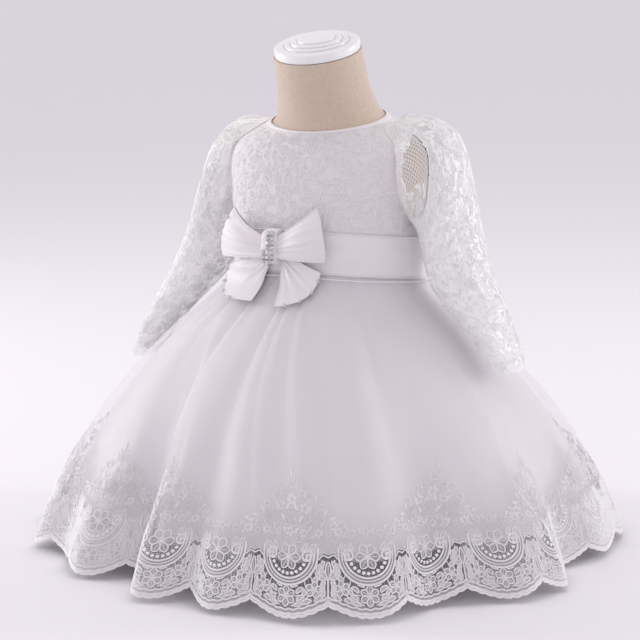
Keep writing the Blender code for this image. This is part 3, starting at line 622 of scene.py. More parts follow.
def make_steel():
    """Brushed and lacquered steel: fine lines round the pole soften its reflections."""
    material, tree, shader = start_material("brushed_steel", Metallic=1.0, Roughness=0.36)
    place = put(tree, "ShaderNodeTexCoord").outputs["Object"]
    drawn = put(tree, "ShaderNodeMapping", {"Vector": place, "Scale": (60, 60, 2400)})
    lines = put(tree, "ShaderNodeTexNoise", {"Vector": drawn, "Detail": 2.0})
    colour_by(tree, shader, lines, "#A9A9AC", "#C9C9CC")
    raise_by(tree, shader, lines, 0.02 * MM)
    return material


def make_satin(name, low, high):
    """Polyester satin: long floats give a soft gloss along fine warp lines, drawn at 0.8 mm."""
    material, tree, shader = start_material(name, Roughness=0.50, Sheen_Weight=0.35, Sheen_Roughness=0.4)
    both = blend(tree, threads(tree, 2.4 * MM, 82), threads(tree, 0.8 * MM), 0.35)
    colour_by(tree, shader, blend(tree, cloudy(tree, 30 * MM), both, 0.6), low, high)
    raise_by(tree, shader, both, 0.04 * MM)
    return material


def make_net(name, low, high, hole, thread, sheen=0.3):
    """Nylon net: thin threads at three slants round open holes; thread sets how closely it covers."""
    material, tree, shader = start_material(name, Roughness=0.8, Sheen_Weight=sheen)
    lines = [threads(tree, hole, turn) for turn in (0, 60, 120)]
    two = put(tree, MATH, {0: lines[1], 1: lines[2]}, operation="MAXIMUM")
    most = put(tree, MATH, {0: lines[0], 1: two}, operation="MAXIMUM")
    cover = put(tree, "ShaderNodeMapRange", {0: most, 1: 1 - thread, 2: 1 - thread / 3})
    tree.links.new(cover.outputs[0], shader.inputs["Alpha"])
    colour_by(tree, shader, cloudy(tree, 40 * MM), low, high)
    return material


def make_thread(name, low, high, sheen=0.4):
    """Mercerised cotton thread in satin stitch: bright ridges across each shape, drawn at 0.7 mm."""
    material, tree, shader = start_material(
        name, Roughness=0.55, Sheen_Weight=sheen, Sheen_Roughness=0.35
    )
    stitch = threads(tree, 0.7 * MM)
    colour_by(tree, shader, stitch, low, high)
    raise_by(tree, shader, stitch, 0.04 * MM)
    return material


def make_lace_ground():
    """Corded lace's net lying on an opaque lining: white, with the net's grain just showing."""
    material, tree, shader = start_material("lined_lace_ground", Roughness=0.75, Sheen_Weight=0.3)
    lines = [threads(tree, 1.6 * MM, turn) for turn in (30, -30)]
    net = put(tree, MATH, dict(enumerate(lines)), operation="MAXIMUM")
    colour_by(tree, shader, blend(tree, cloudy(tree, 25 * MM), net, 0.5), "#DEDADC", "#EAE6E8")
    raise_by(tree, shader, net, 0.06 * MM)
    return material


def make_polished(name, low, high, **sockets):
    """Glass beads. Foil-backed cut glass is nearly a mirror; a dipped pearl glows under a thin gloss."""
    material, tree, shader = start_material(name, **sockets)
    colour_by(tree, shader, cloudy(tree, 2 * MM), low, high)
    return material


LINEN = make_linen()
ENAMEL = make_enamel()
STEEL = make_steel()
SATIN = make_satin("duchess_satin", "#E6E1E4", "#F2EEF0")
LINING_SATIN = make_satin("underskirt_satin", "#E0DBDE", "#EAE6E9")
TULLE = make_net("skirt_tulle", "#EDE9EE", "#F5F2F6", 1.4 * MM, 0.09)
# The open border net is greyer than the tulle above it: painted shade for the dark inside of the skirt seen
# through its holes.
BORDER_NET_PAINTED_SHADE = make_net("border_net", "#DDDADC", "#E8E5E7", 2.0 * MM, 0.010)
SIDE_NET = make_net("side_border_net", "#EEEBEE", "#F5F2F4", 1.4 * MM, 0.36)
# The half-open border net is greyer than the tulle too: painted shade for the dark inside of the skirt.
HALF_OPEN_NET_PAINTED_SHADE = make_net("half_open_border_net_painted_shade", "#E0DDDF", "#EAE7E9", 1.7 * MM, 0.07)
# The gauze between the border's cords is painted grey: painted shade for the dark gaps of the lace.
GAUZE_PAINTED_SHADE = make_net("border_gauze_painted_shade", "#CFCCCE", "#DDDADC", 0.9 * MM, 0.07)
# The sleeve nets, plain and gathered, are white, and whiter than the gown's other lace: the extra brightness
# is painted light for light through the sheer sleeves.
SLEEVE_NET_WITH_PAINTED_LIGHT = make_net("sleeve_net_painted_light", "#F9F9F9", "#FEFEFE", 1.6 * MM, 0.15, 1.0)
GATHERED_NET_WITH_PAINTED_LIGHT = make_net("sleeve_gathered_net_painted_light", "#FAFAFA", "#FFFFFF", 1.6 * MM, 0.50, 1.0)
SHEER_NET = make_net("sleeve_plain_net", "#F6F6F6", "#FCFCFC", 2.6 * MM, 0.11)
THREAD = make_thread("embroidery_thread", "#EDEAEC", "#FAF8F9")
FINE_THREAD = make_thread("fine_embroidery_thread", "#DDD9DC", "#ECE8EB")
# The sleeve lace's thread is white, and whiter than the embroidery thread: the extra brightness is painted
# light for light through the sheer sleeves.
SLEEVE_THREAD_WITH_PAINTED_LIGHT = make_thread("sleeve_lace_thread_painted_light", "#FAFAFA", "#FFFFFF", 1.0)
CORD = make_thread("bodice_lace_cord", "#E6E2E4", "#F2EFF1")
LACE_GROUND = make_lace_ground()
CRYSTAL = make_polished(
    "foil_backed_glass", "#8F8F92", "#FFFFFF", Metallic=0.7, Roughness=0.09, Coat_Weight=1.0
)
PEARL = make_polished("dipped_pearl", "#B4B2B4", "#EFEDED", Roughness=0.25, Coat_Weight=0.6)


def settle(piece, slot, *nodes):
    """Rides a piece on the part, in place of the solids that it covers."""
    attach(piece, "root")
    if nodes:
        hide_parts(*nodes)
    return piece


# Dress form

# Rings from the bottom up, as radius and height in mm. The cap's heights are over the neck's end.
CAP_RINGS = (
    (40.0, 0.0), (41.6, 0.4), (42.0, 1.4), (42.0, 6.6), (41.6, 7.9), (40.6, 8.8), (39.0, 9.0),
    (32.9, 9.0), (32.5, 7.4), (31.5, 7.4), (31.3, 9.0), (31.2, 10.2), (30.8, 10.7), (30.0, 10.8),
    (26.7, 10.8), (26.3, 9.3), (25.3, 9.3), (25.1, 10.8), (25.0, 12.0), (24.6, 12.5), (23.8, 12.6),
    (19.9, 12.6), (19.5, 11.1), (18.5, 11.1), (18.3, 12.6), (18.2, 13.6), (17.8, 14.1), (17.0, 14.2),
    (6.0, 14.2),
)
POLE_RINGS = ((12.0, 6.3), (12.5, 6.8), (12.5, 149.2), (12.0, 149.7))
BASE_RINGS = ((89.2, 0), (90, 0.8), (90, 5.0), (89.6, 5.7), (88.8, 6.0))
RING_ANGLES = np.linspace(0, 360, 96, endpoint=False)
# Round the form, the cloth's threads are spaced as at this radius.
CLOTH_RADIUS = 0.075
SHARP_FROM_DEG = 40


def turned(name, rings, material, node, slot):
    """A solid of rings of points with both ends closed."""
    points = np.array(rings)
    around = points.shape[1]
    piece = add_mesh(name, points, grid_faces(*points.shape[:2], closed=True), material)

    def close(bm):
        bm.verts.ensure_lookup_table()
        bm.faces.new(bm.verts[:around][::-1])
        bm.faces.new(bm.verts[-around:])
        bmesh.ops.recalc_face_normals(bm, faces=bm.faces)
        layer = bm.loops.layers.uv.new("cloth")
        # The faces across the turn's end, at the back, go on past half a turn.
        for face in bm.faces:
            for loop in face.loops:
                at = loop.vert.co
                turn = math.atan2(at.x, -at.y)
                if turn < -2.8 and face.calc_center_median().x > 0:
                    turn += 2 * math.pi
                loop[layer].uv = (turn * CLOTH_RADIUS, at.z)

    reshaped(piece.data, close)
    piece.data.shade_smooth()
    piece.data.set_sharp_from_angle(angle=math.radians(SHARP_FROM_DEG))
    return settle(piece, slot, node)


def make_form():
    """Linen-covered torso, enamelled neck cap, pole and base plate."""
    heights = np.concatenate([np.linspace(0.150, 0.172, 12), np.linspace(0.180, 0.484, 90)])
    torso = [form_point(RING_ANGLES, height) for height in heights]
    turned("torso_linen", torso, LINEN, "form_torso", "linen")

    top = FORM_ROWS[-1]
    lean = np.array(Matrix.Rotation(math.radians(top.tilt), 3, "X"))
    seat = np.array([0, top.centre_y, top.height])
    cap = [polar(r * MM, RING_ANGLES, z * MM + SEAM) @ lean.T + seat for r, z in CAP_RINGS]
    turned("neck_cap_enamelled", cap, ENAMEL, "form_neck_cap", "cap_enamel")

    for name, rings in (("pole", POLE_RINGS), ("base", BASE_RINGS)):
        points = [polar(r * MM, RING_ANGLES, z * MM) for r, z in rings]
        turned("stand_" + name, points, STEEL, "form_" + name, "steel")


# Needlework: shapes drawn flat in millimetres, then laid on a surface

Stroke = namedtuple("Stroke", "points widths height gauze", defaults=(False,))
THINNEST = 0.25
LEAF_HEIGHT = 0.6
GAUZE_HEIGHT = 0.4


def curve(points, count, closed=False):
    """A smooth line through a few points, as evenly counted points."""
    points = np.asarray(points, float)
    if closed:
        points = np.concatenate([points[-2:], points, points[:3]])
        places = np.arange(len(points)) - 2.0
        at = np.linspace(0, len(points) - 5, count)
    else:
        places = np.arange(len(points), dtype=float)
        at = np.linspace(0, len(points) - 1, count)
    return np.stack([through(places, points[:, k], at) for k in (0, 1)], -1)


def cord(points, width, height, taper=0.0):
    """A raised cord, thinner at its ends by taper."""
    share = np.linspace(0, 1, len(points))
    ends = 1 - taper * (1 - np.sin(np.pi * share) ** 0.5)
    return Stroke(np.asarray(points, float), width * ends, height)


def gauze_band(points, width):
    """A low band of gauze."""
    return Stroke(points, np.full(len(points), width), GAUZE_HEIGHT, True)


def leaf(start, end, width, bend=0.0, count=6):
    """A filled leaf or petal from start to end, bent to its left."""
    start, end = np.asarray(start, float), np.asarray(end, float)
    share = np.linspace(0, 1, count)[:, None]
    side = np.array([-(end - start)[1], (end - start)[0]])
    points = start + (end - start) * share + side * bend * 4 * share * (1 - share)
    swell = np.sin(np.pi * np.clip(share[:, 0] * 0.94 + 0.03, 0, 1)) ** 0.75
    return Stroke(points, np.maximum(width * swell, THINNEST), LEAF_HEIGHT)


def dot(x, y, radius, height):
    """A small round raised dot."""
    across = np.array([-1.0, -0.45, 0.45, 1.0]) * radius
    points = np.stack([x + across, 0 * across + y], -1)
    return Stroke(points, np.array([0.7, 1.8, 1.8, 0.7]) * radius, height)


def to_left(line, widths):
    """From each point of a line to the left edge of its width."""
    step = unit(np.gradient(line, axis=0))
    return np.stack([-step[:, 1], step[:, 0]], -1) * widths[:, None] / 2


def petal(start, end, width, bend=0.0):
    """An outlined leaf or petal with a vein and a filling of gauze."""
    middle = leaf(start, end, width, bend, count=7)
    side = to_left(middle.points, middle.widths)
    left, right = middle.points + side, middle.points - side
    return [
        cord(np.concatenate([left, right[::-1], left[:1]]), 1.35, 0.9),
        cord(middle.points[1:-1], 0.7, 0.7),
        Stroke(middle.points, middle.widths, 0.3, True),
    ]


def ways(petals, turn):
    """The directions of a flower's petals."""
    angles = math.radians(turn) + 2 * np.pi * np.arange(petals) / petals
    return np.stack([np.sin(angles), np.cos(angles)], -1)


def flower(x, y, radius, petals=5, turn=0.0, outlined=False):
    """Petals round a centre, filled, or outlined over gauze."""
    at = np.array([x, y])
    strokes = [dot(x, y, radius * 0.17, 1.1)]
    for way in radius * ways(petals, turn):
        start, end = at + way * 0.22, at + way
        strokes += petal(start, end, radius * 0.66) if outlined else [leaf(start, end, radius * 0.6)]
    return strokes


# Outline of an open flower's petal: shares of the radius outwards and sideways.
OPEN_PETAL = ((0.2, 0), (0.48, 0.3), (0.82, 0.38), (1.0, 0.14), (0.96, -0.12), (0.82, -0.36), (0.48, -0.3))


def open_flower(x, y, radius, petals=5, turn=0.0):
    """Petals drawn as outlines with veins, round an open centre."""
    at = np.array([x, y])
    angle = np.linspace(0, 2 * np.pi, 9)
    centre = at + 0.16 * radius * np.stack([np.cos(angle), np.sin(angle)], -1)
    strokes = [cord(centre, 0.9, 0.8)]
    for way in radius * ways(petals, turn):
        side = np.array([way[1], -way[0]])
        outline = [at + way * out + side * aside for out, aside in OPEN_PETAL]
        strokes.append(cord(curve(outline, 15, closed=True), 1.1, 0.7))
        for spread in (-0.225, 0.0, 0.225):
            vein = [at + 0.26 * way, at + 0.78 * way + side * spread]
            strokes.append(cord(curve(vein, 3), 0.75, 0.45))
    return strokes


def leaves(rows, outlined=False):
    """Leaves from rows of start, end, width and bend, filled, or outlined over gauze."""
    strokes = []
    for x0, y0, x1, y1, *shape in rows:
        start, end = (x0, y0), (x1, y1)
        strokes += petal(start, end, *shape) if outlined else [leaf(start, end, *shape)]
    return strokes


def flowers(rows, outlined=False):
    """Flowers from rows of place, radius, petals and turn."""
    return [stroke for row in rows for stroke in flower(*row, outlined)]


def stems(width, height, rows):
    """Smooth cords of one size, from rows of a count of points and the line that they follow."""
    return [cord(curve(line, count), width, height) for count, line in rows]


def turned_strokes(strokes, turn):
    """Strokes turned about their origin."""
    angle = math.radians(turn)
    spin = np.array([[math.cos(angle), -math.sin(angle)], [math.sin(angle), math.cos(angle)]])
    return [stroke._replace(points=stroke.points @ spin.T) for stroke in strokes]


def mirrored(strokes):
    """Strokes with their mirror images."""
    return strokes + [stroke._replace(points=stroke.points * (-1, 1)) for stroke in strokes]


def apart(strokes):
    """Strokes as those of cord and those of gauze."""
    return [[stroke for stroke in strokes if stroke.gauze == gauze] for gauze in (False, True)]


class Needlework:
    """Gathers strokes laid on surfaces and turns them into one mesh."""

    def __init__(self):
        self.points = []
        self.places = []
        self.faces = []
        self.count = 0

    def lay(self, strokes, place, keep=None, relief=1.0):
        """Lays strokes: place turns x and y in mm and a height in metres into points."""
        rows, rises = [], []
        for stroke in strokes:
            line = stroke.points
            if keep is not None and not keep(line[:, 0], line[:, 1]).all():
                continue
            side = to_left(line, stroke.widths)
            rows.append(np.stack([line + side, line, line - side], 1).reshape(-1, 2))
            rises.append(np.tile([0.0, stroke.height * relief * MM, 0.0], len(line)))
            across = np.array([-0.5, 0, 0.5]) * stroke.widths[:, None]
            along = run_along(line)[:, None] + 0 * across
            self.places.append(np.stack([along, across], -1).reshape(-1, 2) * MM)
            self.faces.append(grid_faces(len(line), 3) + self.count)
            self.count += 3 * len(line)
        if rows:
            x, y = np.concatenate(rows).T
            self.points.append(place(x, y, np.concatenate(rises)))

    def mesh(self, name, material, slot, *nodes, flip=False):
        """One mesh of all that was laid, riding on the part."""
        faces = np.concatenate(self.faces)
        if flip:
            faces = faces[:, ::-1]
        places = np.concatenate(self.places)
        return settle(add_mesh(name, np.concatenate(self.points), faces, material, places), slot, *nodes)


# Lace border of the skirt

REPEAT = 76.0
BORDER_TOP = 66.0
SKIRT_SLOPE_MM = 262
EDGE_LOBES = 9
SCROLL_HEIGHT = 58.0
VOLUTE = (18.6, 55.6)
PEAK_LEANS = {2: 0.5, 24: -0.2, 6: 0.2}
# The border's net is open in front, half open towards its sides, and close past the fold edges there, the
# first two greyed
# as painted shade: the places, in scallops, where they meet, and each one's number among the overskirt's
# materials.
BORDER_NETS_MEET = (-2.2, -0.5, 2.5, 3.95)
BORDER_NET_SLOTS = (2, 3, 1, 3, 2)
# The tulle has this many columns to a scallop, and ends this share of the drop above its edge.
TULLE_COLUMNS = 20
TULLE_ENDS_ABOVE = 0.004


def edge_strokes():
    """The heavy scalloped edge: three cords and a gauze band, in small lobes."""
    x = np.linspace(-REPEAT / 2, REPEAT / 2, 73)
    lobes = 1 - np.abs(np.sin(EDGE_LOBES * np.pi * (x / REPEAT + 0.5)))
    base = SKIRT_SLOPE_MM * SCALLOP_DEPTH * (1 - np.abs(np.cos(np.pi * x / REPEAT)))
    rows = ((0.9, 1.2, 2.7, 1.4), (3.7, 0.8, 2.2, 1.2), (7.6, 1.2, 1.6, 1.1))
    strokes = [
        cord(np.stack([x, base + rise + wave * lobes], -1), width, height)
        for rise, wave, width, height in rows
    ]
    return strokes + [gauze_band(np.stack([x, base + 5.4], -1), 4.6)]


def medallion_strokes():
    """The open scroll with its row of dots, and the flower held in it."""
    turn = np.radians(np.linspace(168, 372, 44))

    def arc(reach):
        return np.stack([reach * np.cos(turn), SCROLL_HEIGHT + (reach + 0.3) * np.sin(turn)], -1)

    rows = ((28.4, 2.0, 1.2), (25.4, 1.3, 0.9), (22.4, 1.8, 1.1))
    strokes = [cord(arc(reach), width, height) for reach, width, height in rows]
    strokes.append(gauze_band(arc(25.3), 6.0))
    for degrees in 196 + 14.8 * np.arange(11):
        at = math.radians(degrees)
        strokes.append(dot(18.3 * math.cos(at), SCROLL_HEIGHT + 18.6 * math.sin(at), 1.75, 1.1))
    coil = np.linspace(0, 1, 22)
    around = math.radians(-40) + 3.3 * np.pi * coil
    reach = mix(6.4, 1.2, coil)[:, None]
    volute = VOLUTE + reach * np.stack([np.cos(around), np.sin(around)], -1)
    side = [cord(volute, 2.1, 1.2, 0.3), dot(*VOLUTE, 1.3, 1.2)]
    side += leaves(((20.5, 60.5, 26.5, 66.5, 3.6, 0.1), (13.0, 61.0, 17.5, 67.5, 3.2, -0.1)), True)
    return strokes + mirrored(side) + flower(0, 54.6, 12.0, 6, 30, True)


def spray_strokes():
    """Flowers and leaves between the scroll and the scalloped edge, joined by fine bars."""
    petals = (
        (8.2, 11.6, 15.8, 13.4, 3.4, 0.12), (16.0, 13.8, 23.6, 17.0, 3.6, 0.10),
        (26.0, 17.0, 33.6, 22.6, 3.6, -0.10), (10.6, 16.4, 17.4, 20.2, 3.2, 0.12),
        (10.2, 22.6, 16.4, 27.6, 3.4, 0.12), (4.6, 27.6, 10.6, 29.6, 2.6, 0.15),
        (14.8, 20.6, 17.8, 26.6, 3.0, -0.15), (31.6, 28.2, 33.8, 35.6, 3.4, -0.12),
        (23.6, 34.4, 28.8, 38.6, 3.2, -0.12), (29.0, 36.0, 33.2, 42.8, 3.6, 0.10),
        (28.4, 42.4, 31.0, 49.0, 3.2, 0.10), (32.4, 44.6, 34.8, 51.6, 3.2, 0.12),
    )
    curved = (
        (9, [(8.6, 20.0), (13, 21.0), (17, 20.8), (19.5, 24)]),
        (10, [(28, 33), (30.6, 38), (30.8, 45), (32.5, 53)]),
        (9, [(5.5, 11.4), (12, 14.6), (20, 19.6), (22, 22)]),
    )
    bars = (
        (0, 28.2, 0, 30.2, 1.2), (9.6, 28.8, 11.6, 32.8, 1.0), (18.6, 27.2, 16.6, 35.4, 1.0),
        (24.6, 33.6, 21.8, 38.8, 1.0), (33.0, 26.0, 36.4, 24.0, 1.0), (32.6, 31.0, 36.6, 33.0, 1.0),
    )
    side = flower(25.4, 26.6, 7.4, 5, 10, True) + leaves(petals, True) + stems(1.1, 0.8, curved)
    side += [cord([(x0, y0), (x1, y1)], width, 0.8) for x0, y0, x1, y1, width in bars]
    return flower(0, 19.6, 9.0, 6, 0, True) + mirrored(side)


def stalk_strokes():
    """The upright sprig between two scallops, centred on the notch."""
    strokes = petal((0, 36), (0, 51), 4.8)
    strokes += stems(1.5, 1.0, [(7, [(0, 15), (0, 26), (0, 37)])])
    strokes += stems(1.4, 1.0, [(17, [(-8.8, 53), (-4.6, 57), (0, 55), (4.6, 57), (8.8, 53)])])
    strokes += stems(1.0, 0.9, [(17, [(-8.2, 56), (-4.6, 59.6), (0, 57.8), (4.6, 59.6), (8.2, 56)])])
    petals = (
        (2.9, 20.5, 3.6, 31.0, 2.6, -0.1), (1.0, 37.0, 6.6, 48.4, 4.2, -0.15),
        (2.2, 36.0, 11.0, 42.4, 3.8, -0.15),
    )
    side = stems(1.2, 1.0, [(14, [(0.6, 16), (5.4, 20), (7.0, 26), (5.2, 32), (1.0, 36)])])
    return strokes + mirrored(side + leaves(petals, True))


def upper_strokes():
    """The low row of small flowers, dots and leaves along the border's top."""
    x = np.linspace(-REPEAT / 2, REPEAT / 2, 61)
    strokes = [cord(np.stack([x, 67.6 + 1.3 * np.sin(x * np.pi / 3.8)], -1), 0.9, 0.6)]
    strokes += [dot(5.43 * k - 35.3, 71.8, 1.0, 0.6) for k in range(14)]
    strokes += flower(0, 77.5, 5.0, 5, 20)
    blossoms = ((14.5, 76.5, 4.4, 5, 0), (28.0, 77.0, 4.8, 6, 0), (37.5, 75.5, 3.4, 5, 36))
    filled = (
        (6.0, 75.0, 9.8, 81.5, 2.8, 0.15), (19.0, 78.0, 22.5, 84.0, 2.8, 0.15),
        (20.0, 73.5, 24.5, 74.5, 2.4, -0.1), (32.5, 74.0, 33.5, 81.0, 2.6, 0.2),
        (30.0, 82.0, 33.5, 87.0, 2.6, 0.1),
    )
    return strokes + mirrored(flowers(blossoms) + leaves(filled))


def peak_strokes():
    """The tall spray of flowers over every second scallop."""
    strokes = open_flower(0, 91, 8.6) + flower(0, 107.5, 6.6, 6, 15) + flower(0, 121.5, 5.0)
    strokes.append(leaf((0, 127), (0, 138), 3.8))
    strokes += stems(0.9, 0.4, [(12, [(0.4, 80), (-0.6, 95), (0.5, 112), (0, 128)])])
    blossoms = (
        (14.5, 100, 5.6, 5, 12), (43, 83, 5.2, 5, 0), (32, 101, 4.4, 5, 30), (11.5, 114, 4.2, 5, 0),
        (54, 79, 4.2, 5, 20), (21, 112, 3.8, 5, 10), (14, 82, 3.8, 5, 0),
    )
    filled = (
        (9, 86, 14, 93, 3.4, 0.15), (8, 97, 4, 105, 3.2, 0.15), (19, 95, 23, 104, 3.4, 0.2),
        (20, 104, 18, 110, 3.0, 0.15), (6.5, 117, 8.5, 126, 3.0, 0.15), (15, 108, 17, 117, 2.8, 0.15),
        (34, 92, 38.5, 99, 3.2, 0.15), (38, 88, 46, 90, 3.2, 0.15), (48, 84, 54, 87, 2.8, 0.15),
        (25, 106, 28, 113, 2.8, 0.15), (3.0, 124, 6.0, 131, 2.6, 0.1),
    )
    trails = (
        (14, [(0.5, 84), (10, 83), (19, 87), (29, 95), (32, 102)]),
        (10, [(30, 86), (37, 88), (45, 82), (56, 77)]),
        (12, [(0.5, 100), (8, 98), (15, 103), (19, 109), (21, 113)]),
    )
    side = open_flower(26, 89, 7.4, 5, 20) + flowers(blossoms) + leaves(filled)
    return strokes + mirrored(side + stems(0.9, 0.4, trails))


# Height over the scallop tips, in mm, against the share of the skirt's drop, measured at one angle.
MEASURED_DEG = 40.0
drop_places = np.linspace(1.0, 0.3, 141)
rise_mm = run_along(skirt_point(MEASURED_DEG, drop_places)) / MM


def border_place(centre, lean=0.0):
    """Where needlework drawn about one scallop's middle lies on the skirt."""

    def place(x, y, rise):
        drop = np.interp(y, rise_mm, drop_places)
        across = x + lean * np.maximum(y - BORDER_TOP, 0)
        return lifted(tulle_point, centre + across / REPEAT, drop, EMBROIDERY_OUT + rise, *SKIRT_STEPS)

    return place


def skirt_panels():
    """Name, and first and last place in scallops, of each overskirt panel."""
    count = SCALLOPS * COLUMNS_PER_SCALLOP
    columns = hem_angle(np.arange(count) / COLUMNS_PER_SCALLOP)
    marks = [int(np.abs((columns - seam + 180) % 360 - 180).argmin()) for seam in (-90, 90, 180)]
    panels = []
    for name, start, end in zip(TULLE_CUTS, marks, marks[1:] + marks[:1]):
        length = (end - start) % count
        panels.append((name, start / COLUMNS_PER_SCALLOP, (start + length) / COLUMNS_PER_SCALLOP))
    return panels


def make_tulle(name, start, end):
    """One overskirt panel, its bare hem in the border's open, half-open and close nets."""
    columns = np.linspace(start, end, int(round((end - start) * TULLE_COLUMNS)) + 1)
    # Rows lie closer by the waist, where the gathers start.
    shares = np.concatenate([np.linspace(0, 0.1, 9)[:-1], np.linspace(0.1, 1, 64)])
    s, t = np.meshgrid(columns, shares, indexing="ij")
    drop = t * (scallop_bottom(s) - TULLE_ENDS_ABOVE)
    points = lifted(tulle_point, s, drop, TULLE_OUT, *SKIRT_STEPS)
    tulle = sheet_mesh("overskirt_" + name + "_tulle", points, TULLE, flip=True)
    for net in (BORDER_NET_PAINTED_SHADE, SIDE_NET, HALF_OPEN_NET_PAINTED_SHADE):
        tulle.data.materials.append(net)
    below = (shares[1:] + shares[:-1]) / 2 > UNDERSKIRT_DROP / (1 - SCALLOP_DEPTH / 2)
    middle = (columns[1:] + columns[:-1]) / 2
    middle = (middle + SCALLOPS / 2) % SCALLOPS - SCALLOPS / 2
    slot = np.array(BORDER_NET_SLOTS)[np.searchsorted(BORDER_NETS_MEET, middle)]
    slots = below[None, :] * slot[:, None]
    tulle.data.polygons.foreach_set("material_index", slots.ravel().astype(int))
    return settle(tulle, "tulle", "overskirt_" + name)


def make_skirt():
    """Tulle overskirt with its embroidered border, over the satin underskirt."""
    repeat = apart(edge_strokes() + medallion_strokes() + spray_strokes())
    stalk = apart(stalk_strokes())
    upper = upper_strokes()
    peak = peak_strokes()
    for name, start, end in skirt_panels():
        tulle = make_tulle(name, start, end)
        cords, gauze, fine = Needlework(), Needlework(), Needlework()
        # A scallop on a seam belongs to the panel after it.
        for k in range(math.ceil(start - 0.01), math.ceil(end - 0.01)):
            place = border_place(float(k))
            for kind, work in enumerate((cords, gauze)):
                work.lay(repeat[kind], place)
                work.lay(stalk[kind], border_place(k + 0.5))
            fine.lay(upper, place)
            if k % SCALLOPS_PER_PEAK == 0:
                fine.lay(peak, border_place(float(k), PEAK_LEANS.get(k % SCALLOPS, 0.0)))
        border = cords.mesh("hem_embroidery_" + name, THREAD, "border_lace", "lace_border_" + name)
        filling = gauze.mesh("hem_gauze_" + name, GAUZE_PAINTED_SHADE, "border_lace")
        sprays = fine.mesh("hem_sprays_" + name, FINE_THREAD, "border_lace")

    for name, start in (("front", -90.0), ("back", 90.0)):
        angles = np.linspace(start, start + 180.0, 161)
        s, t = np.meshgrid(angles, np.linspace(0, 1, 44), indexing="ij")
        sag = UNDERSKIRT_SAG * (1 - np.cos(np.radians(2 * s - UNDERSKIRT_SAG_TURN))) / 2
        points = lifted(satin_point, s, t * (UNDERSKIRT_DROP + sag), SATIN_OUT, *SATIN_STEPS)
        satin = sheet_mesh("underskirt_" + name + "_satin", points, LINING_SATIN, flip=True)
        settle(satin, "satin", "underskirt_" + name)


# Bodice and waistband

# The bodice panels: first and last angle round the body, and width as cut.
BODICE_PANELS = {
    "front": (-90.0, 90.0, 0.28),
    "back_left": (90.0, 180.0, 0.14),
    "back_right": (-180.0, -90.0, 0.14),
}
# Only cloth farther out than this from the middle can lie in an armhole, and what lies within this
# share of the armhole's oval is left out.
ARMHOLE_FROM_X = 0.05
ARMHOLE_SHARE = 0.93
BODICE_RELIEF = 0.6
LACE_OUT = 0.1 * MM
# The all-over lace's repeats: rows up the bodice, and degrees from one to the next along a row.
LACE_ROWS = np.arange(0.270, 0.425, 0.027)
LACE_STEP_DEG = 19.0
# The waistband's soft creases, and its edges, drawn in over this share of its height.
BAND_CREASE = 0.35 * MM
BAND_EDGE = 0.5 * MM
BAND_EDGE_SHARE = 0.06
# Raised edges of the lace low on the bodice's left, as degrees round the body and heights.
RAISED_AT = (45.0, 0.340)
RAISED_EDGES = (
    ((24.0, 0.319), (25.0, 0.330), (27.5, 0.339), (31.7, 0.342), (36.0, 0.345), (41.2, 0.348)),
    ((41.2, 0.348), (46.0, 0.3465), (51.0, 0.349), (56.0, 0.3495), (61.0, 0.3525), (68.0, 0.3530)),
    ((41.2, 0.348), (42.8, 0.341), (41.6, 0.333), (42.3, 0.325), (44.5, 0.319)),
    ((56.0, 0.3495), (57.2, 0.342), (56.0, 0.334), (57.4, 0.327)),
)


def in_armhole(y, z, grow=0.0):
    """Under 1 inside the armholes' oval."""
    half_depth, half_height = ARMHOLE_HALF_DEPTH + grow, ARMHOLE_HALF_HEIGHT + grow
    return np.hypot(y / half_depth, (z - ARMHOLE_HEIGHT) / half_height)


def allover_strokes(outlined=False):
    """One repeat of the all-over lace: a flower, small blossoms, leaves and trailing stems."""
    blossoms = ((13, 10, 4.6, 5, 20), (-12, 12, 4.2, 5, 0), (11, -13, 4.4, 5, 36))
    trails = (
        (9, [(3, -8), (9, -7), (13, -11), (17, -18)]),
        (9, [(-6, 6), (-10, 9), (-14, 15), (-19, 17)]),
        (9, [(7, 4), (12, 5), (16, 10), (15, 17)]),
        (9, [(-5, -7), (-11, -9), (-15, -15), (-20, -14)]),
    )
    sprigs = (
        (-9, -8, -14, -4, 3.0, 0.2), (-13, -12, -12, -19, 3.0, 0.2), (-17, -15, -22, -10, 2.8, 0.2),
        (14, 4, 20, 3, 3.0, 0.2), (16, 13, 21, 17, 2.8, -0.2), (14, -15, 20, -12, 2.8, 0.2),
        (-14, 15, -13, 21, 2.8, -0.2), (-1, 10, 1, 17, 3.0, 0.2), (1, -11, -2, -18, 3.0, 0.2),
    )
    strokes = open_flower(0, 0, 8.2) + flowers(blossoms, outlined) + stems(0.9, 0.45, trails)
    return apart(strokes + leaves(sprigs, outlined))[0]


def bodice_place(degrees, height):
    """Where needlework drawn about one spot lies on the bodice, and the length of a degree there."""
    at = form_point(np.array([degrees]), np.array([height]))[0]
    per_degree = math.radians(1) * math.hypot(at[0], at[1])

    def place(x, y, rise):
        return on_form(degrees + x * MM / per_degree, height + y * MM, BODICE_OUT + LACE_OUT + rise)

    return place, per_degree


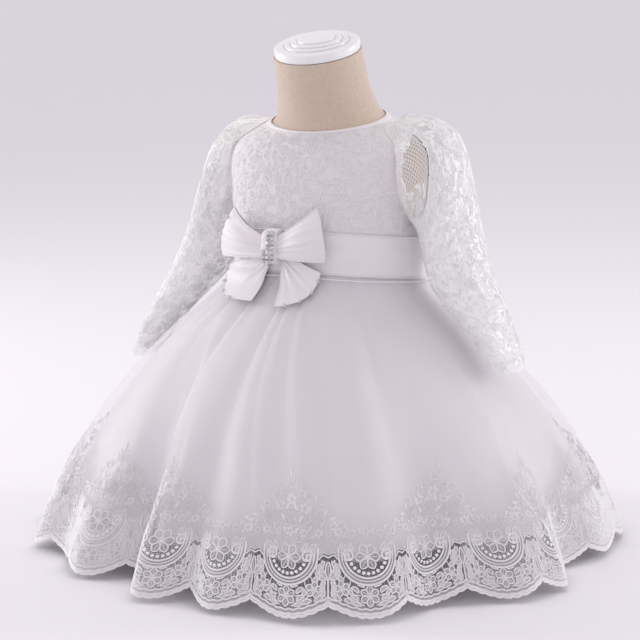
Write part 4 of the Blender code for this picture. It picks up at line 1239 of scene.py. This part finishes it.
def make_bodice_cloth(name, start, end):
    """One bodice panel, its points near an armhole drawn onto that armhole's edge."""
    angles = np.linspace(start, end, int((end - start) * 0.8) + 1)
    s, t = np.meshgrid(angles, np.linspace(0, 1, 64), indexing="ij")
    points = on_form(s, mix(waist_height(s) + SEAM, NECKLINE_HEIGHT, t), BODICE_OUT)
    places = flat_places(points)
    x, y, z = np.moveaxis(points, -1, 0).copy()
    near = in_armhole(y, z)
    outside = np.abs(x) > ARMHOLE_FROM_X
    pull = (near < 1) & outside
    spread = np.maximum(near, 0.05)
    moved = bodice_reach(
        (y / spread)[pull], (ARMHOLE_HEIGHT + (z - ARMHOLE_HEIGHT) / spread)[pull], BODICE_OUT
    )
    moved[:, 0] *= np.sign(x[pull])
    points[pull] = moved
    faces = grid_faces(*s.shape)
    gone = (near < ARMHOLE_SHARE) & (np.abs(points[..., 0]) > ARMHOLE_FROM_X)
    gone = gone.ravel()[faces].any(1)
    cloth = add_mesh("bodice_" + name + "_cloth", points, faces[~gone], LACE_GROUND, places)

    def drop_loose(bm):
        bmesh.ops.delete(bm, geom=[v for v in bm.verts if not v.link_faces], context="VERTS")

    reshaped(cloth.data, drop_loose)
    return settle(cloth, "bodice_lace", "bodice_" + name)


def lay_bodice_lace(work, motif, start, end):
    """Turned repeats of the lace in rows over one panel, kept clear of its edges and armholes."""
    for row, height in enumerate(LACE_ROWS):
        for k in range(-10, 11):
            degrees = (k + 0.5 * (row % 2)) * LACE_STEP_DEG
            # A repeat on a seam belongs to the panel after it.
            if not start - 2 <= degrees < end - 2:
                continue
            place, per_degree = bodice_place(degrees, height)

            def keep(x, y, degrees=degrees, height=height, per_degree=per_degree):
                at_deg = degrees + x * MM / per_degree
                at_z = height + y * MM
                point = form_point(at_deg, at_z)
                clear = in_armhole(point[:, 1], point[:, 2], 2.5 * MM) > 1
                clear |= np.abs(point[:, 0]) < ARMHOLE_FROM_X
                clear &= at_z > waist_height(at_deg) + BAND_HEIGHT + 1.5 * MM
                clear &= at_z < NECKLINE_HEIGHT - 2 * MM
                return clear & (at_deg > start) & (at_deg < end)

            work.lay(turned_strokes(motif, 47 * k + 73 * row), place, keep, BODICE_RELIEF)


def make_raised_edges():
    """Cords along the raised edges of the lace on the bodice front."""
    raised = Needlework()
    place, per_degree = bodice_place(*RAISED_AT)
    for line in RAISED_EDGES:
        flat = (np.array(line) - RAISED_AT) * (per_degree / MM, 1 / MM)
        raised.lay([cord(curve(flat, 40), 1.5, 1.1)], place)
    return raised.mesh("bodice_front_raised_edges", THREAD, "bodice_lace")


def make_bodice():
    """Lined lace panels with the armholes left open, and the lace's cords and flowers on them."""
    motif = allover_strokes(outlined=True)
    for name, (start, end, width) in BODICE_PANELS.items():
        cloth = make_bodice_cloth(name, start, end)
        work = Needlework()
        lay_bodice_lace(work, motif, start, end)
        stitched = [work.mesh("bodice_" + name + "_cording", CORD, "bodice_lace")]
        if name == "front":
            stitched.append(make_raised_edges())

    for name, start in (("front", -90.0), ("back", 90.0)):
        angles = np.linspace(start, start + 180.0, 121)
        s, t = np.meshgrid(angles, np.linspace(0, 1, 21), indexing="ij")
        crease = BAND_CREASE * np.sin(5.1 * t * np.pi + 0.06 * s) * np.sin(np.pi * t)
        edge = 1 - ease(t / BAND_EDGE_SHARE) + ease((t - 1) / BAND_EDGE_SHARE + 1)
        height = waist_height(s) + SEAM + BAND_HEIGHT * t
        points = on_form(s, height, BAND_OUT + crease - BAND_EDGE * edge)
        band = sheet_mesh("waistband_" + name + "_satin", points, SATIN)
        settle(band, "satin", "waistband_" + name)


# Sleeves

# The left sleeve has a patch of plain net before its armhole: turns round the arm, and rows along.
SHEER_TURN = 0.80
SHEER_HALF_TURN = 0.060
SHEER_RUN = 3.1
SHEER_HALF_RUN = 1.2
SHEER_NARROWING = 0.35
SLEEVE_RELIEF = 0.80
# Rows from the armhole within which the gathered net lies closer.
GATHERED_RUN = 2.1
# The lace's repeats: along the sleeve and round it, in metres.
SLEEVE_LACE_DOWN = 0.030
SLEEVE_LACE_ROUND = 0.036
SLEEVE_LACE_OUT = 0.2 * MM


def sheerness(turn, run, side):
    """Under 1 inside the plain patch of the left sleeve."""
    away = (turn - SHEER_TURN - 0.02 * (run - SHEER_RUN) + 0.5) % 1 - 0.5
    down = (run - SHEER_RUN) / SHEER_HALF_RUN
    half_turn = SHEER_HALF_TURN * (1 - SHEER_NARROWING * np.clip(down, -1, 1))
    return np.hypot(away / half_turn, down) + 9 * (side < 0)


def make_sleeve_net(name, side, surface, last):
    """A sleeve's net tube, with its plain patch and its closer gathered head."""
    turns = np.linspace(0, 1, 120, endpoint=False)
    # Rows lie closer in the gathered head.
    runs = np.concatenate([np.linspace(0, 4, 40)[:-1], np.linspace(4, last, 70)])
    s, t = np.meshgrid(turns, runs, indexing="ij")
    net = sheet_mesh(name + "_net", surface(s, t), SLEEVE_NET_WITH_PAINTED_LIGHT, closed=True, flip=side > 0)
    net.data.materials.append(SHEER_NET)
    net.data.materials.append(GATHERED_NET_WITH_PAINTED_LIGHT)
    patch = sheerness(s, t, side) < 1.15
    head = t < GATHERED_RUN + 0.35 * np.sin(14 * np.pi * s) * np.sin(6 * np.pi * s)
    slots = np.where(patch, 1, np.where(head, 2, 0))[:, :-1]
    net.data.polygons.foreach_set("material_index", slots.ravel())
    return settle(net, "sleeve_lace", name)


def lay_sleeve_lace(work, motif, side, surface, last):
    """Turned repeats of the lace in rings along a sleeve, kept off its plain patch and its ends."""
    run_places = np.linspace(0.6, last, 200)
    middle = (surface(0, run_places) + surface(0.5, run_places)) / 2
    length = run_along(middle)
    rows = int(length[-1] / SLEEVE_LACE_DOWN)
    for row in range(rows + 1):
        run = float(np.interp(length[-1] * (row + 0.3) / (rows + 0.5), length, run_places))
        girth = run_along(surface(np.linspace(0, 1, 49), run))[-1]
        count = max(3, round(girth / SLEEVE_LACE_ROUND))
        per_run = np.gradient(length, run_places)[np.abs(run_places - run).argmin()]
        for k in range(count):
            turn = (k + 0.5 * (row % 2)) / count

            def spot(x, y, turn=turn, run=run, girth=girth, per_run=per_run):
                return turn + x * MM / girth, run + y * MM / per_run

            def place(x, y, rise, spot=spot):
                return lifted(surface, *spot(x, y), SLEEVE_LACE_OUT + rise, 0.004 * -side, 0.02)

            def keep(x, y, spot=spot):
                at_turn, at_run = spot(x, y)
                plain = sheerness(at_turn, at_run, side) < 1
                return (at_run > 0.25) & (at_run < last - 0.03) & ~plain

            work.lay(turned_strokes(motif, 61 * k + 97 * row), place, keep, SLEEVE_RELIEF)


def make_sleeves():
    """Sheer net sleeves with lace flowers, gathered into the armholes and open at the cuffs."""
    motif = allover_strokes()
    for name, side in (("sleeve_left", 1), ("sleeve_right", -1)):
        surface = sleeve_point(name, side)
        last = len(SLEEVE_ROWS[name])
        net = make_sleeve_net(name, side, surface, last)
        work = Needlework()
        lay_sleeve_lace(work, motif, side, surface, last)
        lace = work.mesh(name + "_lace", SLEEVE_THREAD_WITH_PAINTED_LIGHT, "sleeve_lace", flip=side > 0)


# Cords, seams and beads

TUBE_SIDES = 8


def tube_mesh(name, lines, radius, material, slot):
    """Round cords along lines of points, narrowed at their ends, as one mesh on the part."""
    points, faces, places, count = [], [], [], 0
    turn = np.linspace(0, 2 * np.pi, TUBE_SIDES + 1)
    for line in lines:
        along = unit(np.gradient(line, axis=0))
        side = np.cross(along, [0.0, 0.0, 1.0])
        level = np.linalg.norm(side, axis=1, keepdims=True) < 0.2
        side = unit(np.where(level, np.cross(along, [0.0, 1.0, 0.0]), side))
        up = np.cross(side, along)
        from_end = np.minimum(np.arange(len(line)), np.arange(len(line))[::-1])
        thick = radius * np.sqrt(np.clip(from_end / 2, 0.02, 1))
        round_it = side[:, None] * np.cos(turn)[:, None] + up[:, None] * np.sin(turn)[:, None]
        points.append((line[:, None] + round_it * thick[:, None, None]).reshape(-1, 3))
        run, across = np.meshgrid(run_along(line), radius * turn, indexing="ij")
        places.append(np.stack([run, across], -1).reshape(-1, 2))
        faces.append(grid_faces(len(line), TUBE_SIDES + 1)[:, ::-1] + count)
        count += len(line) * (TUBE_SIDES + 1)
    points, faces, places = (np.concatenate(part) for part in (points, faces, places))
    return settle(add_mesh(name, points, faces, material, places), slot)


# What is set on points: its node, that node's settings, its proportions and its turn on its own axis.
# Those without a turn are round and shaded smooth.
BeadKind = namedtuple("BeadKind", "node settings proportions turn")
BEADS = {
    "pearl": BeadKind("GeometryNodeMeshIcoSphere", {"Radius": 0.5, "Subdivisions": 2}, (1, 1, 1), None),
    "stone": BeadKind(
        "GeometryNodeMeshCone",
        {"Vertices": 4, "Side Segments": 1, "Radius Top": 0.36, "Radius Bottom": 0.66, "Depth": 0.42},
        (1, 1, 1),
        math.pi / 4,
    ),
    "stitch": BeadKind(
        "GeometryNodeMeshIcoSphere", {"Radius": 0.5, "Subdivisions": 1}, (1, 0.22, 0.2), None
    ),
}


def bead_tree(name, kind, material):
    """Node tree that sets a bead, a cut stone or a stitch on each point, facing its facing."""
    tree = bpy.data.node_groups.new(name, "GeometryNodeTree")
    for label, way, socket in (
        ("Geometry", "INPUT", "NodeSocketGeometry"),
        ("Size", "INPUT", "NodeSocketFloat"),
        ("Tilt", "INPUT", "NodeSocketFloat"),
        ("Geometry", "OUTPUT", "NodeSocketGeometry"),
    ):
        tree.interface.new_socket(label, in_out=way, socket_type=socket)
    entry = put(tree, "NodeGroupInput").outputs
    facing, along = (
        put(tree, "GeometryNodeInputNamedAttribute", {"Name": label}, data_type="FLOAT_VECTOR")
        for label in ("facing", "along")
    )
    outwards = put(
        tree, "FunctionNodeAlignRotationToVector", {"Vector": facing.outputs["Attribute"]}, axis="Z"
    )
    straight = put(
        tree,
        "FunctionNodeAlignRotationToVector",
        {"Rotation": outwards, "Vector": along.outputs["Attribute"]},
        axis="X",
        pivot_axis="Z",
    )
    limits = {0: (-1, -1, -1), 1: (1, 1, 1), "Seed": SEED}
    lean = put(tree, "FunctionNodeRandomValue", limits, data_type="FLOAT_VECTOR")
    lean = put(tree, "ShaderNodeVectorMath", {0: lean, "Scale": entry["Tilt"]}, operation="SCALE")
    tipped = put(
        tree,
        "FunctionNodeRotateRotation",
        {"Rotation": straight, "Rotate By": lean},
        rotation_space="LOCAL",
    )
    bead = put(tree, kind.node, kind.settings)
    if kind.turn is None:
        bead = put(tree, "GeometryNodeSetShadeSmooth", {"Geometry": bead, "Shade Smooth": True})
    else:
        bead = put(tree, "GeometryNodeTransform", {"Geometry": bead, "Rotation": (0, 0, kind.turn)})
    scaled = {0: kind.proportions, "Scale": entry["Size"]}
    scaled = put(tree, "ShaderNodeVectorMath", scaled, operation="SCALE")
    placed = {"Points": entry["Geometry"], "Instance": bead, "Rotation": tipped, "Scale": scaled}
    placed = put(tree, "GeometryNodeInstanceOnPoints", placed)
    real = put(tree, "GeometryNodeRealizeInstances", {"Geometry": placed})
    dressed = put(tree, "GeometryNodeSetMaterial", {"Geometry": real, "Material": material})
    put(tree, "NodeGroupOutput", {0: dressed})
    return tree


def set_beads(name, kind, points, facing, along, size, material, slot, tilt=0.0):
    """Pearls, stones or stitches on points, as one plain mesh on the part."""
    mesh = bpy.data.meshes.new(name + "_places")
    mesh.from_pydata(np.asarray(points).tolist(), [], [])
    for label, values in (("facing", facing), ("along", along)):
        layer = mesh.attributes.new(label, "FLOAT_VECTOR", "POINT")
        layer.data.foreach_set("vector", np.asarray(values, float).ravel())
    source = show(name + "_places", mesh)
    maker = source.modifiers.new("set", "NODES")
    maker.node_group = bead_tree(name, BEADS[kind], material)
    values = {"Size": size, "Tilt": tilt}
    for item in maker.node_group.interface.items_tree:
        if item.name in values:
            maker[item.identifier] = values[item.name]
    made = bpy.data.meshes.new_from_object(source.evaluated_get(bpy.context.evaluated_depsgraph_get()))
    bpy.data.objects.remove(source, do_unlink=True)
    made.name = name
    return settle(show(name, made), slot)


def evenly(line, spacing):
    """Points at even spacing along a line, with the directions there."""
    run = run_along(line)
    at = np.arange(spacing / 2, run[-1], spacing)
    points, ahead = (
        np.stack([np.interp(place, run, line[:, k]) for k in range(3)], -1)
        for place in (at, at + spacing / 4)
    )
    return points, ahead - points


# Round the neck: the binding's cross-section, as height over the neckline and distance out, in mm.
BINDING = (
    (-2.4, 1.5), (-2.3, 1.8), (-1.9, 2.1), (-1.1, 2.25), (-0.3, 2.15), (0.3, 1.9), (0.6, 1.5),
    (0.5, 1.0), (-0.1, 0.6), (-3.0, 0.5), (-6.5, 0.5),
)
ROUND_BODY = np.linspace(0, 360, 181)
# The bodice's seam cords, as degrees round the body and heights where they end.
SEAM_CORDS = ((-73.0, 0.33), (73.0, 0.33), (180.0, NECKLINE_HEIGHT - 0.004))
SEAM_CORD_RADIUS = 0.7 * MM
SEAM_CORD_OUT = 0.2 * MM
# Stitches run below the neckline and in from the waistband's edges.
STITCH_SPACING = 3.0 * MM
STITCH_LENGTH = 2.0 * MM
STITCH_OUT = 0.05 * MM
NECK_STITCHES_DOWN = 3.6 * MM
NECK_STITCHES_OUT = 1.6 * MM
BAND_STITCHES_IN = 2.2 * MM
# Piping lies in the waistband's edges, and below it at a share of the skirt's drop.
PIPING_RADIUS = 0.75 * MM
PIPING_IN = 0.2 * MM
LOW_PIPING_DROP = 0.020
LOW_PIPING_WAVE = 0.003
LOW_PIPING_OUT = 5.6 * MM
WELD_WITHIN = 1e-6


def band_line(rise, out):
    """A line round the body, this far up the waistband."""
    return on_form(ROUND_BODY, waist_height(ROUND_BODY) + rise, out)


def make_neckline():
    """The folded binding round the neck, the bodice's seam cords, the stitching and the piping."""
    rings = [on_form(ROUND_BODY, NECKLINE_HEIGHT + rise * MM, out * MM) for rise, out in BINDING]
    binding = sheet_mesh("neckline_binding", np.stack(rings, 1), SATIN)
    reshaped(binding.data, lambda bm: bmesh.ops.remove_doubles(bm, verts=bm.verts, dist=WELD_WITHIN))
    settle(binding, "bodice_lace")

    seams = []
    for degrees, top in SEAM_CORDS:
        low = float(waist_height(degrees)) + BAND_HEIGHT
        seams.append(on_form(degrees, np.linspace(low, top, 40), BODICE_OUT + SEAM_CORD_OUT))
    tube_mesh("bodice_seam_cords", seams, SEAM_CORD_RADIUS, CORD, "bodice_lace")

    rows = [on_form(ROUND_BODY, NECKLINE_HEIGHT - NECK_STITCHES_DOWN, NECK_STITCHES_OUT)]
    for rise in (BAND_STITCHES_IN, BAND_HEIGHT - BAND_STITCHES_IN):
        rows.append(band_line(rise, BAND_OUT + STITCH_OUT))
    points, along = (np.concatenate(part) for part in zip(*(evenly(row, STITCH_SPACING) for row in rows)))
    facing = points * (1, 1, 0)
    set_beads("edge_stitching", "stitch", points, facing, along, STITCH_LENGTH, THREAD, "satin")

    edges = [band_line(rise, BAND_OUT) for rise in (PIPING_IN, BAND_HEIGHT - PIPING_IN)]
    drop = LOW_PIPING_DROP + LOW_PIPING_WAVE * np.sin(np.radians(ROUND_BODY) * 2.5 - 0.4) ** 2
    edges.append(lifted(skirt_point, ROUND_BODY, drop, LOW_PIPING_OUT, *SATIN_STEPS))
    tube_mesh("waistband_piping", edges, PIPING_RADIUS, SATIN, "satin")


# Bow

FOLDED_EDGE_RADIUS = 0.55 * MM
ROLLED_EDGE_RADIUS = 0.5 * MM
PEARL_SIZE = 4.0 * MM
PEARL_OUT = 1.3 * MM
# Pearls stand along the right loop's fold and along each tail's end, at these shares of them.
LOOP_PEARLS_AT = 0.54
LOOP_PEARLS = (0.80, 0.62, 0.44, 0.26, 0.08)
TAIL_PEARLS = {1: (0.15, 0.38, 0.62, 0.85), -1: (0.08, 0.3, 0.52, 0.74)}
# The knot: its depth at its ends as a share, and its cross-section, as shares of width and depth.
KNOT_END_SHARE = 0.22
KNOT_CREASE = 0.35 * MM
KNOT_SIDES = (-1, -1, -1, -0.94, -0.8, -0.6, -0.4, -0.2, 0, 0.2, 0.4, 0.6, 0.8, 0.94, 1, 1, 1)
KNOT_DEPTHS = (0.05, 0.4, 0.75, 0.93, 0.985, 1, 1, 1, 1, 1, 1, 1, 0.985, 0.93, 0.75, 0.4, 0.05)
STONE_SIZE = 4.9 * MM
STONE_ROW = 4.6 * MM
STONE_TILT = 0.16
STONES_ASIDE = 0.6 * MM
STONES_SUNK = 0.3 * MM
STONES_PER_ROW = (3, 3, 3, 2, 2, 2, 2)


def bow_point(u, v, n):
    """Points of the bow: u round the body, v up, and n out from the cloth that it lies on."""
    u, v, n = np.broadcast_arrays(u, v, n)
    degrees = BOW_DEG + np.degrees(u / BOW_RADIUS)
    height = BOW_HEIGHT + v
    seam = waist_height(degrees)
    above = form_point(degrees, np.maximum(height, 0.2))
    drop = np.clip((seam - height) / (seam - HEM_HEIGHT), 0, 1)
    below = skirt_point(degrees, drop)
    over = np.hypot(above[..., 0], above[..., 1]) + BAND_OUTSIDE
    under = np.hypot(below[..., 0], below[..., 1]) + TULLE_OUTSIDE + 2 * GATHER_DEPTH
    radius = mix(over, under, ease((seam - height) / 0.010 + 0.5)) + BOW_STAND_OFF + n
    return polar(radius, degrees, height)


def creases(share, count, slant):
    """Height from 0 to 1 of pleats that differ in width and depth across a strip."""
    warped = share + 0.035 * np.sin(2 * np.pi * share * 2 + 1.0 + slant)
    depth = 0.72 + 0.28 * np.cos(2 * np.pi * share * 1.5 + 0.7 + slant)
    return depth * (0.5 - 0.5 * np.cos(2 * np.pi * count * warped)) ** 1.4


def loop_surface(row):
    """A loop: out behind, round its fold and back in front; share runs from its foot to its top."""

    def surface(path, share):
        out = (1 - np.cos(2 * np.pi * path)) / 2
        rounded = 1 - LOOP_CORNER_CUT * np.abs(2 * share - 1) ** 6 * out
        reach = out * row.length * (1 - row.skew * share * out) * rounded
        half_height = mix(LOOP_START_HALF_HEIGHT, row.end_half_height, out**LOOP_SPREAD)
        v = row.rise * out + half_height * (2 * share - 1)
        v = v + LOOP_EDGE_WAVE * out * np.sin(2 * np.pi * share) * np.sin(3 * np.pi * out)
        turn = -np.sin(2 * np.pi * path)
        pillow = np.sin(np.pi * np.clip(share, 0, 1)) * np.sin(np.pi * np.minimum(out, 0.5))
        gap = np.sign(turn) * np.abs(turn) ** 0.5 * mix(LOOP_EDGE_PUFF * 0.55, row.puff, pillow)
        # Creases run out from the knot, deeper in front, and a slow wave crosses the loop.
        front = np.where(path > 0.5, 1.0, 0.35)
        n = LOOP_MIDDLE + row.lift * out + gap / 2
        n = n + front * LOOP_CREASE * creases(share, LOOP_CREASES, row.side) * (1 - out) ** 0.6
        n = n + front * LOOP_WAVE * np.sin(9 * share + 5 * out * row.side) * out * (1 - out) * 4
        return bow_point(row.side * (KNOT_HALF_WIDTH - LOOP_IN_KNOT + reach), v, n)

    return surface


def tail_surface(row):
    """A tail: share runs from its outer side to its tip, and run from the knot to its end."""

    def surface(share, run):
        start_v = mix(TAIL_START_TOP, TAIL_START_BOTTOM, share)
        bend = row.bulge * np.sin(np.pi * share)
        end_u = mix(row.top_u, row.tip_u, share) + bend * TAIL_BEND
        end_v = mix(row.top_v, row.tip_v, share) - bend * TAIL_BEND
        u = mix(KNOT_HALF_WIDTH - TAIL_IN_KNOT, end_u, run)
        n = TAIL_START_OUT + TAIL_FLARE * run + TAIL_FACE_OUT
        n = n + TAIL_CREASE * creases(share, TAIL_CREASES, row.side) * (1 - 0.7 * run)
        n = n + TAIL_WAVE * np.sin(5 * share + 2 * row.side) * run**2
        return bow_point(row.side * u, mix(start_v, end_v, run), n)

    return surface


def make_bow():
    """Satin loops, tails and knot with its cut stones, and pearls along the edges."""
    pearl_points = []
    shares = np.linspace(0, 1, 33)
    paths = np.linspace(0.01, 0.99, 81)
    for name, row in BOW_LOOPS.items():
        surface = loop_surface(row)
        s, t = np.meshgrid(paths, shares, indexing="ij")
        loop = sheet_mesh(name + "_satin", surface(s, t), SATIN, flip=row.side < 0)
        settle(loop, "satin", name)
        edges = [surface(paths[41:], edge) for edge in (0.0, 1.0)]
        rolls = tube_mesh(name + "_folded_edges", edges, FOLDED_EDGE_RADIUS, SATIN, "satin")
        if row.side < 0:
            pearl_points.append(surface(LOOP_PEARLS_AT, np.array(LOOP_PEARLS)))
    runs = np.linspace(0, 1, 30)
    for name, row in BOW_TAILS.items():
        surface = tail_surface(row)
        s, t = np.meshgrid(shares, np.linspace(0, 1, 33), indexing="ij")
        tail = sheet_mesh(name + "_satin", surface(s, t), SATIN, flip=row.side > 0)
        settle(tail, "satin", name)
        edges = [surface(shares, 1.0), surface(0.0, runs), surface(1.0, runs)]
        rolls = tube_mesh(name + "_rolled_edges", edges, ROLLED_EDGE_RADIUS, SATIN, "satin")
        pearl_points.append(surface(np.array(TAIL_PEARLS[row.side]), 1.0))

    pearls = np.concatenate(pearl_points)
    facing = unit(pearls * (1, 1, 0))
    along = np.roll(facing, 1, 1)
    at = pearls + facing * PEARL_OUT
    beads = set_beads("bow_edge_pearls", "pearl", at, facing, along, PEARL_SIZE, PEARL, "stones")

    s, t = np.meshgrid(np.arange(len(KNOT_SIDES)), np.linspace(-1, 1, 49), indexing="ij")
    end = 1 - np.abs(t) ** 7
    wrap_n = KNOT_DEPTH * mix(KNOT_END_SHARE, 1, end) * np.array(KNOT_DEPTHS)[s]
    wrap_n = wrap_n - KNOT_CREASE * np.sin(2.5 * np.pi * t) ** 2
    wrap_u = np.array(KNOT_SIDES)[s] * KNOT_HALF_WIDTH * (0.9 + 0.1 * end)
    knot = sheet_mesh("bow_knot_wrap", bow_point(wrap_u, t * KNOT_HALF_HEIGHT, wrap_n), SATIN)
    settle(knot, "stones", "bow_knot")

    middle_row = (len(STONES_PER_ROW) - 1) / 2
    stones = [
        (place * STONE_SIZE + STONES_ASIDE, (number - middle_row) * STONE_ROW)
        for number, count in enumerate(STONES_PER_ROW)
        for place in range(2 - count, 2)
    ]
    at = bow_point(*np.array(stones).T, KNOT_DEPTH - STONES_SUNK)
    facing = at * (1, 1, 0)
    along = np.stack([-facing[:, 1], facing[:, 0], 0 * facing[:, 0]], -1)
    gems = set_beads(
        "bow_knot_stones", "stone", at, facing, along, STONE_SIZE, CRYSTAL, "stones", STONE_TILT
    )


make_form()
make_skirt()
make_bodice()
make_neckline()
make_sleeves()
make_bow()


# Camera, floor and light

FLOOR_HALF = 30.0
FLOOR_HEIGHT = -0.5 * MM
LIT_MIDDLE = (0, 0, 0.28)
# Soft square lights: place, size in metres and power in watts.
LIGHTS = {
    "left_window": ((-2.5, -0.3, 0.8), 1.0, 27),
    "right_window": ((2.1, 1.8, 0.85), 1.0, 22),
    "overhead": ((0.1, 0.5, 2.4), 1.2, 4),
}


def make_stage():
    """Pale floor, soft surround, lights and the camera."""
    corners = FLOOR_HALF * np.array([[-1, -1, 0], [1, -1, 0], [1, 1, 0], [-1, 1, 0]])
    paint = start_material("painted_floor", Base_Color=linear("#F1EDF3"), Roughness=0.9)[0]
    floor = add_mesh("floor", corners + (0, 0, FLOOR_HEIGHT), np.array([[0, 1, 2, 3]]), paint)
    scene = bpy.context.scene
    world = bpy.data.worlds.new("soft_surround")
    world.use_nodes = True
    world.node_tree.nodes["Background"].inputs["Color"].default_value = linear("#E5E2E5")
    world.node_tree.nodes["Background"].inputs["Strength"].default_value = 1.0
    scene.world = world
    # Plain sRGB keeps white cloth as white as it is lit.
    scene.view_settings.view_transform = "Standard"
    for name, (place, size, power) in LIGHTS.items():
        light = bpy.data.lights.new(name, "AREA")
        light.size = size
        light.energy = power
        lamp = show(name, light)
        lamp.location = place
        lamp.rotation_euler = (Vector(LIT_MIDDLE) - Vector(place)).to_track_quat("-Z", "Y").to_euler()

    camera = bpy.data.cameras.new("camera")
    camera.sensor_width = SENSOR_MM
    camera.lens = LENS_MM
    camera.shift_x = SHIFT_X
    viewer = show("camera", camera)
    turn = math.radians(CAMERA_TURN)
    viewer.location = (CAMERA_DISTANCE * math.sin(turn), -CAMERA_DISTANCE * math.cos(turn), CAMERA_HEIGHT)
    viewer.rotation_euler = (math.radians(90 - CAMERA_TIP), 0, turn)
    scene.camera = viewer


make_stage()
